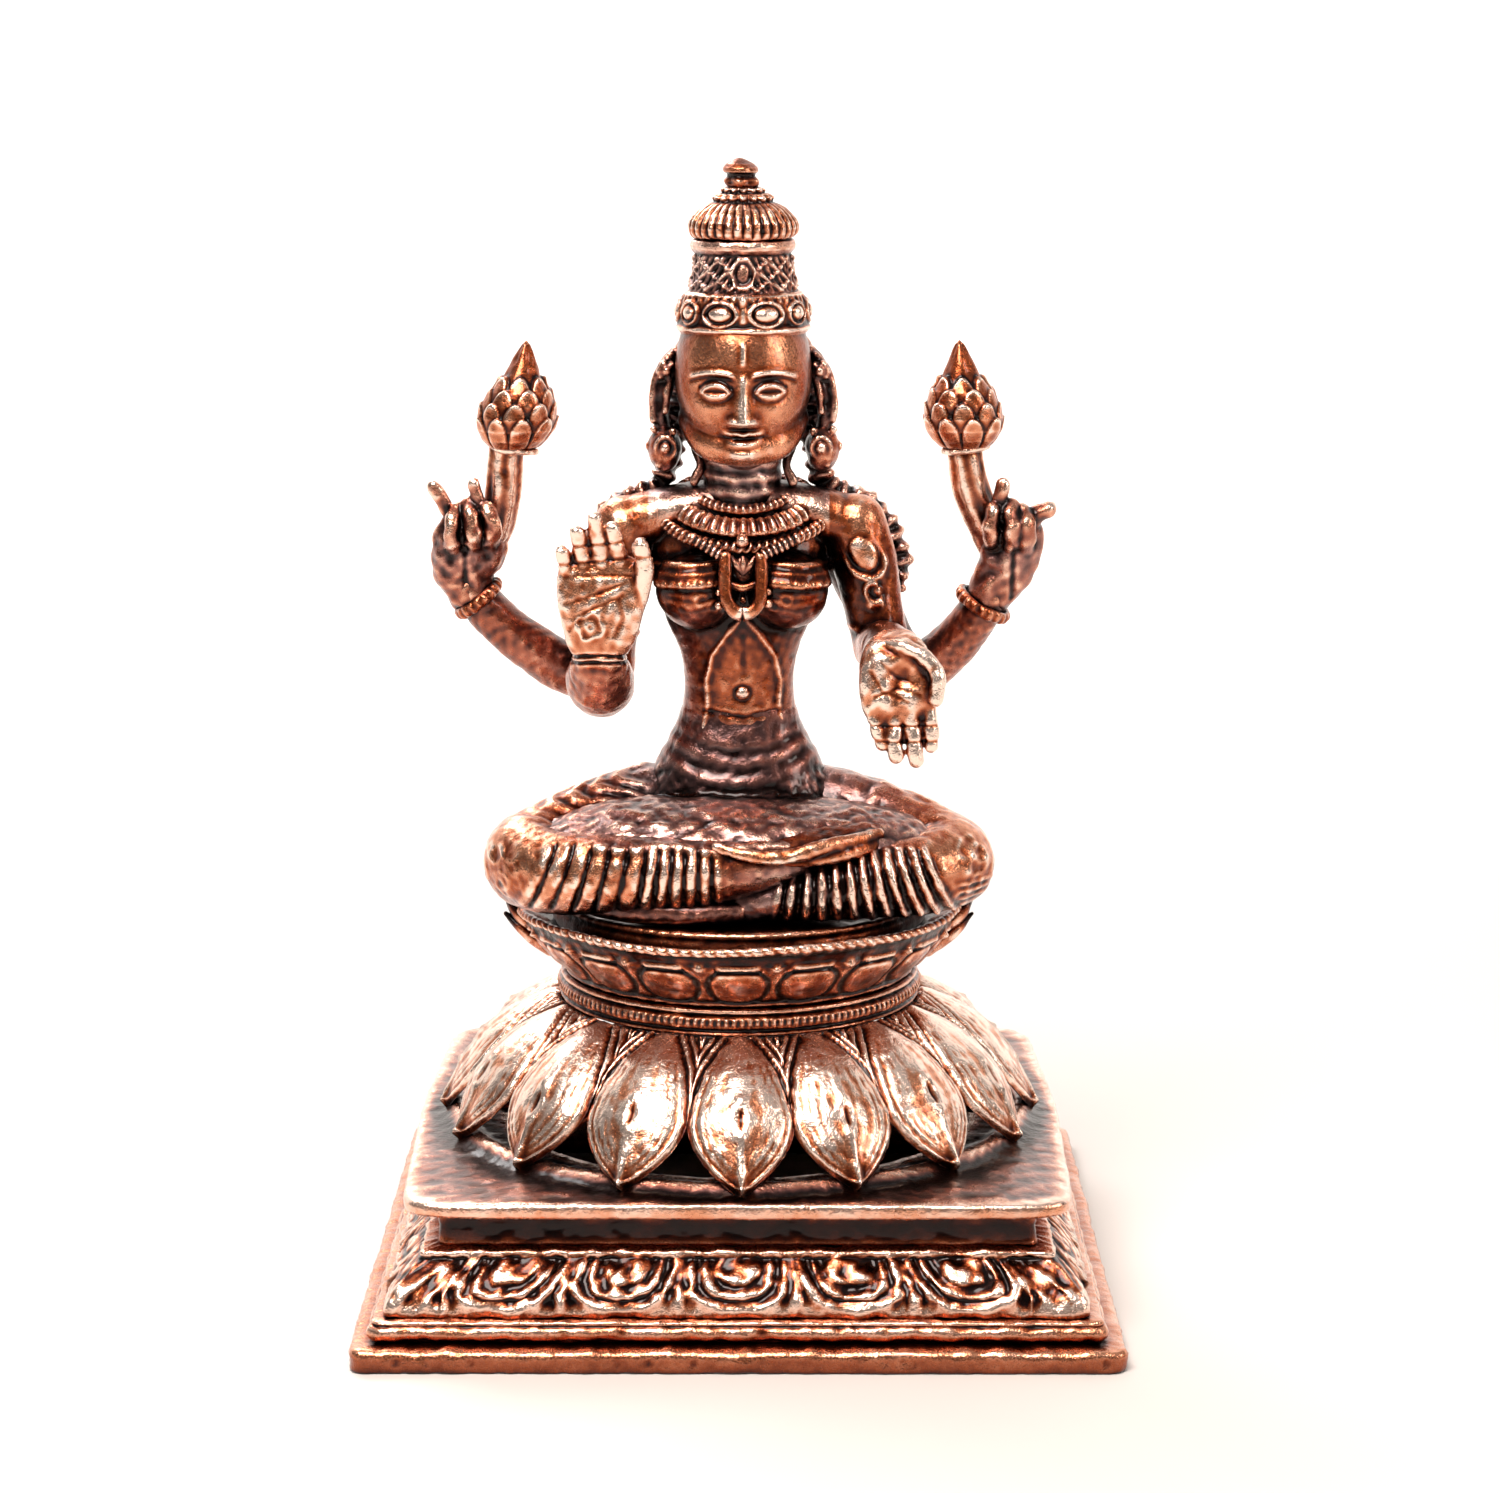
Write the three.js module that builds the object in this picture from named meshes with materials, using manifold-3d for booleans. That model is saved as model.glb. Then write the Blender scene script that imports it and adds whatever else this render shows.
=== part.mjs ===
// A seated four-armed figure of cast copper on a lotus throne, built as its separately formed pieces.
// Millimetres, +Z up, +X to the viewer's right, the figure faces -Y, the base stands on z = 0.
import * as THREE from "three";
import { mergeVertices } from "three/addons/utils/BufferGeometryUtils.js";
import Module from "manifold-3d";

const wasm = await Module();
wasm.setup();

const gap = 0.3; // the joint left between two pieces that meet

// Square base, from the table up. Each moulding steps in from the one below it by its inset.
const foot = { half: 49.3, height: 3.0, wall: 6.5, edge: 0.5 };
const torus = { inset: 2.3, height: 2.9, wall: 6.0, nose: 1.0, fillet: 0.35 };
const band = { inset: 1.8, slope: 5.2, swell: 1.1, height: 7.6, wall: 4.6 };
const neck = { inset: 1.5, height: 4.7, wall: 3.0 };
const slab = { overhang: 4.4, height: 2.0 };

// Lotus dome, its petals, the ring above them and the seat.
const dome = { margin: 2.4, topRadius: 24.6, height: 17.0, skirt: 9.0, shell: 1.3, bulge: 1.3 };
const petals = { count: 16, thickness: 1.4, tip: 6.9, belly: 4.9 };
const ring = { radius: 24.8, height: 3.6, wall: 5.8, nose: 1.2 };
const seat = { height: 9.6, waist: 24.0, rim: 31.0, rimWall: 2.2, cove: 2.9, floor: 3.2, reliefs: 16 };
const cushion = { height: 4.0 };
const tenon = { radius: 6.0, length: 3.6, clearance: 0.3 };

// Seated figure: each height is the rise from the level named before it, from the seat cushion up.
const rise = {
  hips: 17.5, waist: 13.3, bust: 10.6, shoulder: 10.1, chin: 7.3, eyes: 8.2,
  diadem: 9.0, crown: 4.4, cushion: 7.8, finial: 6.4, top: 4.2,
};
const leg = { kneeX: 27.9, kneeY: -9.0, knee: 6.2, thigh: 6.6, shin: 4.9, shinY: -19.0, hipX: 8.0 };
const body = { hips: 11.6, waist: 7.6, chest: 11.4, depth: 6.6, shoulderReach: 4.0 };
const head = { half: 9.1, deep: 9.6, x: 0.6, y: -1.2, neck: 5.4 };
const crown = { band: 8.5, low: 7.4, high: 6.2, cushion: 7.3, knob: 2.4, wall: 2.4 };
const arm = { upper: 4.6, elbow: 3.9, fore: 3.5, wrist: 2.7 };
const rear = { elbowX: 19.4, wristX: 36.8, wristRise: 9.6, handRise: 7.0, budX: 30.6, budRise: 12.8, y: 4.0 };
const bud = { radius: 4.7, length: 13.6, stem: 1.9 };
const jewel = { band: 0.7, breast: 2.3, armlet: 1.4, bracelet: 0.8 };

const copper = (name, colour, roughness) => {
  const material = new THREE.MeshStandardMaterial({ color: colour, metalness: 1, roughness });
  material.name = name;
  return material;
};
const bright = () => copper("polished_copper", 0xb0714f, 0.34);
const aged = () => copper("patinated_copper", 0x7a4230, 0.46);

// ---- shapes ----

// A closed three.js geometry as a solid that can be joined and cut.
function solid(geometry) {
  const source = geometry.index ? geometry.toNonIndexed() : geometry.clone();
  const bare = new THREE.BufferGeometry();
  bare.setAttribute("position", source.getAttribute("position"));
  const merged = mergeVertices(bare, 1e-4);
  const flat = merged.index.array;
  const position = merged.attributes.position.array;
  const triVerts = new Uint32Array(flat.length);
  let used = 0;
  for (let i = 0; i < flat.length; i += 3) {
    const [a, b, c] = [flat[i], flat[i + 1], flat[i + 2]];
    if (a === b || b === c || c === a) continue;
    triVerts.set([a, b, c], used);
    used += 3;
  }
  const data = { numProp: 3, vertProperties: position, triVerts: triVerts.slice(0, used) };
  return new wasm.Manifold(new wasm.Mesh(data));
}

// A solid as a three.js geometry.
function geometryOf(made) {
  const mesh = made.getMesh();
  const geometry = new THREE.BufferGeometry();
  const positions = new Float32Array(mesh.vertProperties);
  geometry.setAttribute("position", new THREE.BufferAttribute(positions, 3));
  geometry.setIndex(new THREE.BufferAttribute(new Uint32Array(mesh.triVerts), 1));
  geometry.computeVertexNormals();
  return geometry;
}

// Two surfaces that graze each other leave specks behind a cut; anything larger is kept.
function withoutCrumbs(made) {
  const speck = 0.1; // mm3
  const bodies = made.decompose().filter((one) => one.volume() > speck);
  return wasm.Manifold.compose(bodies);
}

const joined = (solids) => solids.reduce((all, one) => all.add(one));

// A profile of [radius, height] points turned about Z; four sides make a square moulding.
function turned(profile, sides) {
  const points = profile.map(([r, h]) => new THREE.Vector2(r, h));
  const square = sides === 4;
  const geometry = new THREE.LatheGeometry(points, sides, square ? Math.PI / 4 : 0);
  if (square) geometry.scale(Math.SQRT2, 1, Math.SQRT2);
  geometry.rotateX(Math.PI / 2);
  return solid(geometry);
}

// A round-ended body along stations [x, y, z, half-width, half-thickness].
// The half-width lies along the direction "across".
function limb(stations, { across = [1, 0, 0], sides = 10, steps = 8 } = {}) {
  return (grow = 0) => {
    const curve = new THREE.CatmullRomCurve3(stations.map((s) => new THREE.Vector3(s[0], s[1], s[2])));
    const last = stations.length - 1;
    const geometry = new THREE.CylinderGeometry(1, 1, 1, sides, steps);
    const position = geometry.getAttribute("position");
    const point = new THREE.Vector3();
    for (let i = 0; i < position.count; i += 1) {
      const t = Math.min(1, Math.max(0, position.getY(i) + 0.5));
      const along = t * last;
      const from = Math.min(last - 1, Math.floor(along));
      const share = along - from;
      const width = THREE.MathUtils.lerp(stations[from][3], stations[from + 1][3], share) + grow;
      const thick = THREE.MathUtils.lerp(stations[from][4], stations[from + 1][4], share) + grow;
      const tangent = curve.getTangent(t);
      const wide = new THREE.Vector3(...across);
      const side = wide.clone().addScaledVector(tangent, -tangent.dot(wide));
      side.normalize();
      const up = side.clone().cross(tangent);
      const end = t === 0 ? -grow : t === 1 ? grow : 0;
      point.copy(curve.getPoint(t)).addScaledVector(tangent, end);
      point.addScaledVector(side, position.getX(i) * width);
      point.addScaledVector(up, position.getZ(i) * thick);
      position.setXYZ(i, point.x, point.y, point.z);
    }
    return solid(geometry);
  };
}

// An ellipsoid at a point.
function ball(at, radii, { sides = 12, rings = 8, turn = [0, 0, 0] } = {}) {
  return (grow = 0) => {
    const geometry = new THREE.SphereGeometry(1, sides, rings);
    geometry.rotateX(Math.PI / 2);
    geometry.scale(radii[0] + grow, radii[1] + grow, radii[2] + grow);
    geometry.rotateX(turn[0]);
    geometry.rotateY(turn[1]);
    geometry.rotateZ(turn[2]);
    geometry.translate(at[0], at[1], at[2]);
    return solid(geometry);
  };
}

// A ring whose axis points along "axis", with a half-width and half-thickness of its own.
function hoop(at, radius, half, axis, { sides = 20, flat = 1 } = {}) {
  return (grow = 0) => {
    const geometry = new THREE.TorusGeometry(radius, half + grow, 6, sides);
    geometry.scale(1, 1, flat);
    const turn = new THREE.Quaternion();
    turn.setFromUnitVectors(new THREE.Vector3(0, 0, 1), new THREE.Vector3(...axis).normalize());
    geometry.applyQuaternion(turn);
    geometry.translate(at[0], at[1], at[2]);
    return solid(geometry);
  };
}

// A band of even thickness round other shapes, between two planes square to "axis".
// "reach" is a width that takes in the shape where the band goes round it, and nothing else.
function sleeve(shapes, thickness, at, axis, half, reach) {
  return (grow = 0) => {
    const geometry = new THREE.BoxGeometry(reach, reach, 2 * (half + grow));
    const turn = new THREE.Quaternion();
    turn.setFromUnitVectors(new THREE.Vector3(0, 0, 1), new THREE.Vector3(...axis).normalize());
    geometry.applyQuaternion(turn);
    geometry.translate(at[0], at[1], at[2]);
    return joined(shapes.map((shape) => shape(grow + gap + thickness))).intersect(solid(geometry));
  };
}

const lathed = (profile, at, sides = 20) => () => turned(profile, sides).translate(at);
const mirrorX = (stations, side) => stations.map(([x, ...rest]) => [x * side, ...rest]);

// ---- model ----

const statue = new THREE.Group();

function place(name, made, material, turn = 0) {
  const mesh = new THREE.Mesh(geometryOf(made), material);
  mesh.name = name;
  mesh.rotation.z = turn;
  statue.add(mesh);
}

// Each moulding is a hollow square frame, so the cast base is open underneath.
const torusFrom = foot.height;
const bandFrom = torusFrom + torus.height;
const neckFrom = bandFrom + band.height;
const slabFrom = neckFrom + neck.height;
const slabTop = slabFrom + slab.height;
const torusHalf = foot.half - torus.inset;
const bandHalf = torusHalf - band.inset;
const neckHalf = bandHalf - band.slope - neck.inset;
const slabHalf = neckHalf + slab.overhang;

function squareFrame(outer, wall) {
  const [low, high] = [outer[0], outer[outer.length - 1]];
  const inner = [[high[0] - wall, high[1]], [low[0] - wall, low[1]]];
  return turned([...outer, ...inner, outer[0]], 4);
}

function makeBase() {
  const footProfile = [
    [foot.half, 0],
    [foot.half, foot.height - foot.edge],
    [foot.half - foot.edge, foot.height],
  ];
  place("plinth_foot", squareFrame(footProfile, foot.wall), bright());

  const inner = torusHalf - torus.nose;
  const torusProfile = [[inner, torusFrom]];
  for (const k of [0, 1, 2, 3, 4]) {
    const angle = (k / 4 - 0.5) * Math.PI;
    const half = torus.height / 2 - torus.fillet;
    const height = torusFrom + torus.height / 2 + half * Math.sin(angle);
    torusProfile.push([inner + torus.nose * Math.cos(angle), height]);
  }
  torusProfile.push([inner, bandFrom]);
  place("plinth_torus", squareFrame(torusProfile, torus.wall), bright());

  const bandProfile = [0, 1, 2, 3, 4, 5].map((k) => {
    const t = k / 5;
    return [bandHalf - band.slope * t + band.swell * Math.sin(Math.PI * t), bandFrom + band.height * t];
  });
  place("plinth_petal_band", squareFrame(bandProfile, band.wall), aged());

  const neckProfile = [[neckHalf, neckFrom], [neckHalf, slabFrom]];
  place("plinth_neck", squareFrame(neckProfile, neck.wall), aged());

  const hole = domeTip - dome.skirt;
  const plate = turned([[0, slabFrom], [slabHalf, slabFrom], [slabHalf, slabTop], [0, slabTop]], 4);
  const well = turned([[0, slabFrom - 1], [hole, slabFrom - 1], [hole, slabTop + 1], [0, slabTop + 1]], 32);
  place("plinth_slab", plate.subtract(well), bright());
}

// The dome falls from the ring to the slab on a slightly swelling line; t is 0 at the slab.
const domeFrom = slabTop;
const domeTop = domeFrom + dome.height;
const domeTip = slabHalf - dome.margin;

function domeLine(t, inset) {
  const radius = THREE.MathUtils.lerp(domeTip, dome.topRadius, t) - inset;
  const swell = dome.bulge * Math.sin(Math.PI * t);
  return [radius + swell, domeFrom + dome.height * t + swell];
}

function domeSkin(outerInset, innerInset, from, to, sidesEach) {
  const steps = 3;
  const share = (k) => THREE.MathUtils.lerp(from, to, k / steps);
  const outer = Array.from({ length: steps + 1 }, (_, k) => domeLine(share(k), outerInset));
  const inner = Array.from({ length: steps + 1 }, (_, k) => domeLine(share(steps - k), innerInset));
  return turned([...outer, ...inner, outer[0]], petals.count * sidesEach);
}

function makeDome() {
  const outside = (petals.thickness + gap) * Math.SQRT2;
  const shell = domeSkin(outside, outside + dome.shell * Math.SQRT2, 0.42, 0.995, 2);
  place("lotus_dome", shell, aged());

  const skin = domeSkin(0, petals.thickness * Math.SQRT2, 0.02, 0.985, 2);
  const step = (2 * Math.PI) / petals.count;
  const root = dome.topRadius - 4;
  const spring = domeTip - petals.tip;
  const half = step / 2 - gap / 2 / spring;
  const [side, down] = [Math.sin(half), -Math.cos(half)];
  const middle = spring + petals.tip / 2;
  const leaf = new THREE.Shape();
  leaf.moveTo(-root * side, root * down);
  leaf.lineTo(root * side, root * down);
  leaf.lineTo(spring * side, spring * down);
  leaf.quadraticCurveTo(petals.belly, -middle, 0.2, -domeTip);
  leaf.lineTo(-0.2, -domeTip);
  leaf.quadraticCurveTo(-petals.belly, -middle, -spring * side, spring * down);
  const extrusion = { depth: dome.height + 6, bevelEnabled: false, curveSegments: 4 };
  const prism = new THREE.ExtrudeGeometry(leaf, extrusion);
  prism.translate(0, 0, domeFrom - 2);
  const petal = skin.intersect(solid(prism));
  for (let k = 0; k < petals.count; k += 1) {
    place(`lotus_petal_${String(k + 1).padStart(2, "0")}`, petal, bright(), k * step);
  }
}

const ringFrom = domeTop;
const seatFrom = ringFrom + ring.height;
const seatTop = seatFrom + seat.height;
const cushionFrom = seatTop - seat.floor;
const cushionTop = cushionFrom + cushion.height;

function makeSeat() {
  const bore = ring.radius - ring.wall;
  const ringProfile = [[bore, ringFrom]];
  const middle = ring.height / 2;
  for (let k = 0; k <= 4; k += 1) {
    const angle = (k / 4 - 0.5) * Math.PI;
    const radius = ring.radius - ring.nose + ring.nose * Math.cos(angle);
    ringProfile.push([radius, ringFrom + middle + middle * Math.sin(angle)]);
  }
  ringProfile.push([bore, seatFrom], [bore, ringFrom]);
  place("neck_ring", turned(ringProfile, 32), bright());

  const socket = tenon.radius + tenon.clearance;
  const rimInner = seat.rim - seat.rimWall;
  const cushionRadius = rimInner - seat.cove - gap;
  const seatProfile = [
    [socket, seatFrom],
    [seat.waist, seatFrom],
    [seat.waist + 0.6, seatFrom + 1.6],
    [seat.waist + 3.4, seatFrom + 4.2],
    [seat.rim - 0.8, seatFrom + 7.4],
    [seat.rim, seatTop - 1.2],
    [seat.rim - 0.4, seatTop],
    [rimInner, seatTop],
    [rimInner - seat.cove, cushionFrom],
    [socket, cushionFrom],
    [socket, seatFrom],
  ];
  const reliefs = [];
  for (let k = 0; k < seat.reliefs; k += 1) {
    const angle = (k / seat.reliefs) * 2 * Math.PI;
    const reach = (seat.waist + seat.rim) / 2 - 0.6;
    const at = [reach * Math.sin(angle), -reach * Math.cos(angle), seatFrom + 4.4];
    const relief = ball(at, [4.4, 1.5, 3.4], { sides: 6, rings: 3, turn: [Math.PI / 4.6, 0, angle] });
    reliefs.push(relief());
  }
  place("lotus_seat", joined([turned(seatProfile, 32), ...reliefs]), bright());

  const cushionProfile = [
    [0, cushionFrom - tenon.length],
    [tenon.radius, cushionFrom - tenon.length],
    [tenon.radius, cushionFrom],
    [cushionRadius - 0.6, cushionFrom],
    [cushionRadius, cushionFrom + cushion.height / 2],
    [cushionRadius - 0.8, cushionTop],
    [0, cushionTop],
  ];
  place("seat_cushion", turned(cushionProfile, 24), aged());
}

// ---- figure ----

const z = {};
let reached = cushionTop;
for (const [name, height] of Object.entries(rise)) {
  reached += height;
  z[name] = reached;
}
const figure = []; // in the order of their cuts: a later piece gives way to an earlier one

function form(name, material, ...shapes) {
  figure.push({ name, material, grown: (grow) => joined(shapes.map((shape) => shape(grow))) });
}

function makeLegs() {
  const floor = cushionTop + gap;
  const kneeZ = floor + leg.knee;
  // The right leg lies on top: its shin crosses in front and its foot rests on the left leg.
  form("leg_right", bright(), limb([
    [-leg.hipX + 3, 3, z.hips - 7.5, 4, 4],
    [-leg.hipX - 5, 0, z.hips - 7, leg.thigh, leg.thigh],
    [-leg.kneeX + 6, leg.kneeY + 4, kneeZ + 1, leg.knee, leg.knee],
    [-leg.kneeX, leg.kneeY, kneeZ, leg.knee, leg.knee],
    [-leg.kneeX + 4, leg.kneeY - 6, kneeZ, leg.knee - 0.6, leg.knee - 0.4],
    [-leg.kneeX / 2, leg.shinY, kneeZ + 1.2, leg.shin, leg.shin],
    [2, leg.shinY - 0.5, kneeZ + 1.6, leg.shin - 0.6, leg.shin - 0.8],
    [6, leg.shinY, kneeZ + 2, 2.6, 2.4],
  ], { across: [0, 0, 1], steps: 12 }));
  form("foot_right", bright(), limb([
    [6.8, leg.shinY + 0.5, kneeZ + 3.4, 1.6, 1.4],
    [10, leg.shinY + 1.2, kneeZ + 4.2, 3.0, 2.2],
    [16, leg.shinY + 3, kneeZ + 5.4, 3.2, 1.8],
    [22, leg.shinY + 6, kneeZ + 5.6, 1.8, 1.2],
  ], { across: [0, 1, 0], steps: 5, sides: 8 }));
  form("leg_left", bright(), limb([
    [leg.hipX - 3, 3, z.hips - 7.5, 4, 4],
    [leg.hipX + 5, 0, z.hips - 7, leg.thigh, leg.thigh],
    [leg.kneeX - 6, leg.kneeY + 4, kneeZ + 1, leg.knee, leg.knee],
    [leg.kneeX, leg.kneeY, kneeZ, leg.knee, leg.knee],
    [leg.kneeX - 4, leg.kneeY - 6, kneeZ - 0.4, leg.knee - 0.8, leg.knee - 0.6],
    [leg.kneeX / 2, leg.shinY + 1, kneeZ - 1.4, leg.shin - 0.6, leg.shin - 0.2],
    [3, leg.shinY + 1, kneeZ - 3.4, 2.6, 3.0],
    [-2, leg.shinY + 1, kneeZ - 4.2, 1.4, 2.0],
  ], { across: [0, 0, 1], steps: 12 }));
  form("foot_left", aged(), limb([
    [-3.2, leg.shinY + 0.6, floor + 1.6, 1.2, 1.6],
    [-8, leg.shinY + 0.2, floor + 1.7, 1.5, 2.6],
    [-15, leg.shinY + 2, floor + 1.7, 1.5, 2.8],
    [-20, leg.shinY + 5, floor + 1.4, 1.0, 1.4],
  ], { across: [0, 0, 1], steps: 5, sides: 8 }));
}

function earShape(side) {
  const ear = head.x + side * (head.half + 0.7);
  return limb([
    [ear - side * 0.8, 1.6, z.eyes + 6.2, 0.8, 1.0],
    [ear, 1.2, z.eyes + 3.4, 1.4, 2.2],
    [ear, 0.8, z.eyes - 1.4, 1.3, 1.6],
    [ear + side * 0.1, 0.5, z.eyes - 5.2, 0.9, 1.0],
  ], { steps: 4, sides: 6 });
}

function makeBody() {
  const hipsZ = z.hips;
  const lapZ = z.hips - 7;
  form("waist_cloth", aged(), limb([
    [0, 0.5, cushionTop + gap + 0.2, body.hips + 2, 8.4],
    [0, 0.5, lapZ, body.hips + 2.6, 9.4],
    [0, 0.2, hipsZ, body.hips - 0.6, body.depth + 1.2],
    [0, 0, hipsZ + 5, body.waist + 1.6, body.depth - 0.4],
  ], { sides: 16, steps: 6 }));
  const torso = [limb([
    [0, 0, hipsZ + 4.6, body.waist + 1.2, body.depth - 0.9],
    [0, -0.2, hipsZ + 10, body.waist + 0.4, body.depth - 1.0],
    [0, -0.2, z.waist, body.waist, body.depth - 1.2],
    [0, 0, z.bust - 5, body.waist + 2.0, body.depth - 0.4],
    [0, 0.2, z.bust, body.chest, body.depth],
    [0, 0.6, z.bust + 5, body.chest + 1.2, body.depth - 0.4],
    [0, 0.8, z.shoulder - 1.4, body.chest + 0.6, body.depth - 1.6],
    [0, 0.8, z.shoulder + 1.6, 7.0, 4.8],
  ], { sides: 14, steps: 10 }), ...[-1, 1].map((side) => (
    ball([side * 5.5, -5.2, z.bust - 0.6], [5.2, 4.6, 5.0], { sides: 10, rings: 6 })
  ))];
  form("torso", bright(), ...torso);
  form("head", bright(), limb([
    [head.x * 0.4, 0.2, z.shoulder - 1.2, head.neck, head.neck],
    [head.x * 0.6, 0, z.chin - 0.8, head.neck, head.neck],
    [head.x, head.y, z.chin + 1.6, 6.4, 7.4],
    [head.x, head.y, z.chin + 6, 8.4, 9.0],
    [head.x, head.y, z.eyes, head.half, head.deep],
    [head.x, head.y, z.diadem - 1, head.half - 0.5, head.deep - 0.4],
    [head.x, head.y + 0.4, z.diadem + 2.2, head.half - 2.2, head.deep - 2.2],
  ], { sides: 14, steps: 10 }),
    ball([head.x, head.y - head.deep + 0.6, z.chin + 5.4], [1.3, 1.4, 2.0], { sides: 8, rings: 6 }),
    ball([head.x, head.y - 5.6, z.chin + 1.6], [3.2, 3.0, 2.2], { sides: 10, rings: 6 }),
    ...[-1, 1].map((side) => earShape(side)));
  const collar = [0.2, -0.4, z.shoulder + 1.0];
  form("necklace", bright(), hoop(collar, 8.0, 1.7, [0, -0.45, 1], { sides: 24, flat: 0.9 }));
  form("pendant", bright(),
    ball([0.2, -8.2, z.shoulder - 6.0], [1.3, 1.0, 2.0], { sides: 10, rings: 6 }));
  const chestBand = sleeve(torso, jewel.band, [0, 0, z.bust], [0, 0, 1], jewel.breast, 4 * body.chest);
  form("breast_band", aged(), chestBand);
  form("band_clasp", bright(), limb([
    [-1.6, -10.4, z.bust + 2.6, 0.8, 0.8],
    [-1.7, -10.8, z.bust - 0.6, 1.0, 1.0],
    [0, -10.9, z.bust - 2.6, 1.0, 1.0],
    [1.7, -10.8, z.bust - 0.6, 1.0, 1.0],
    [1.6, -10.4, z.bust + 2.6, 0.8, 0.8],
  ], { across: [0, 1, 0], sides: 6, steps: 8 }));
}

function makeHeadDress() {
  const at = [head.x, head.y + 0.3, 0];
  const band = crown.band;
  form("diadem", bright(), lathed([
    [band - crown.wall, z.diadem], [band + 0.2, z.diadem], [band + 0.6, z.diadem + 0.8],
    [band, z.crown - 0.8], [band - 0.6, z.crown - gap],
    [band - crown.wall, z.crown - gap], [band - crown.wall, z.diadem],
  ], at, 20));
  form("crown_body", bright(), lathed([
    [0, z.crown], [crown.low, z.crown], [crown.low - 0.7, z.crown + 2.8], [crown.high - 0.2, z.crown + 5.4],
    [crown.high, z.cushion - 2.4], [crown.high + 0.8, z.cushion - 1.9], [crown.high + 0.8, z.cushion - 0.7],
    [crown.high, z.cushion - gap], [0, z.cushion - gap],
  ], at, 10));
  form("crown_cushion", bright(), lathed([
    [0, z.cushion], [crown.high - 0.6, z.cushion], [crown.cushion - 0.4, z.cushion + 0.6],
    [crown.cushion, z.cushion + 1.6], [crown.cushion - 1.0, z.cushion + 3.2], [4.6, z.cushion + 4.4],
    [3.2, z.cushion + 5.2], [2.6, z.finial - gap], [0, z.finial - gap],
  ], at, 16));
  form("crown_finial", bright(), lathed([
    [0, z.finial], [1.6, z.finial], [crown.knob, z.finial + 0.8], [crown.knob, z.finial + 1.7],
    [1.4, z.finial + 2.2], [1.5, z.finial + 2.7], [0.9, z.top - 0.5], [0, z.top],
  ], at, 16));
  for (const [word, side] of [["right", -1], ["left", 1]]) {
    const ear = head.x + side * (head.half + 0.9);
    form(`earring_${word}`, bright(),
      ball([ear + side * 0.3, 0.2, z.chin + 2.2], [1.8, 3.4, 4.4], { sides: 10, rings: 6 }));
    form(`hair_${word}`, aged(), limb([
      [side * 6.4, 6.2, z.eyes - 4, 2.4, 1.8],
      [side * 8.8, 6.4, z.shoulder + 2.5, 3.0, 2.0],
      [side * 13.4, 6.2, z.shoulder - 0.6, 3.0, 2.2],
      [side * 17.6, 5.8, z.bust + 4.4, 2.4, 2.0],
      [side * 19.4, 5.4, z.bust - 1.6, 1.0, 1.2],
    ], { steps: 7, sides: 8 }));
  }
}

// Five fingers fan from a palm; each is a tapering rod from its root to its tip.
function hand(palm, fingers, across) {
  const shapes = [limb(palm, { across, sides: 10, steps: 5 })];
  for (const [root, tip, thick] of fingers) {
    const middle = root.map((value, k) => (value + tip[k]) / 2);
    shapes.push(limb([
      [...root, thick, thick], [...middle, thick, thick], [...tip, thick * 0.7, thick * 0.7],
    ], { across, sides: 6, steps: 2 }));
  }
  return shapes;
}

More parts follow.
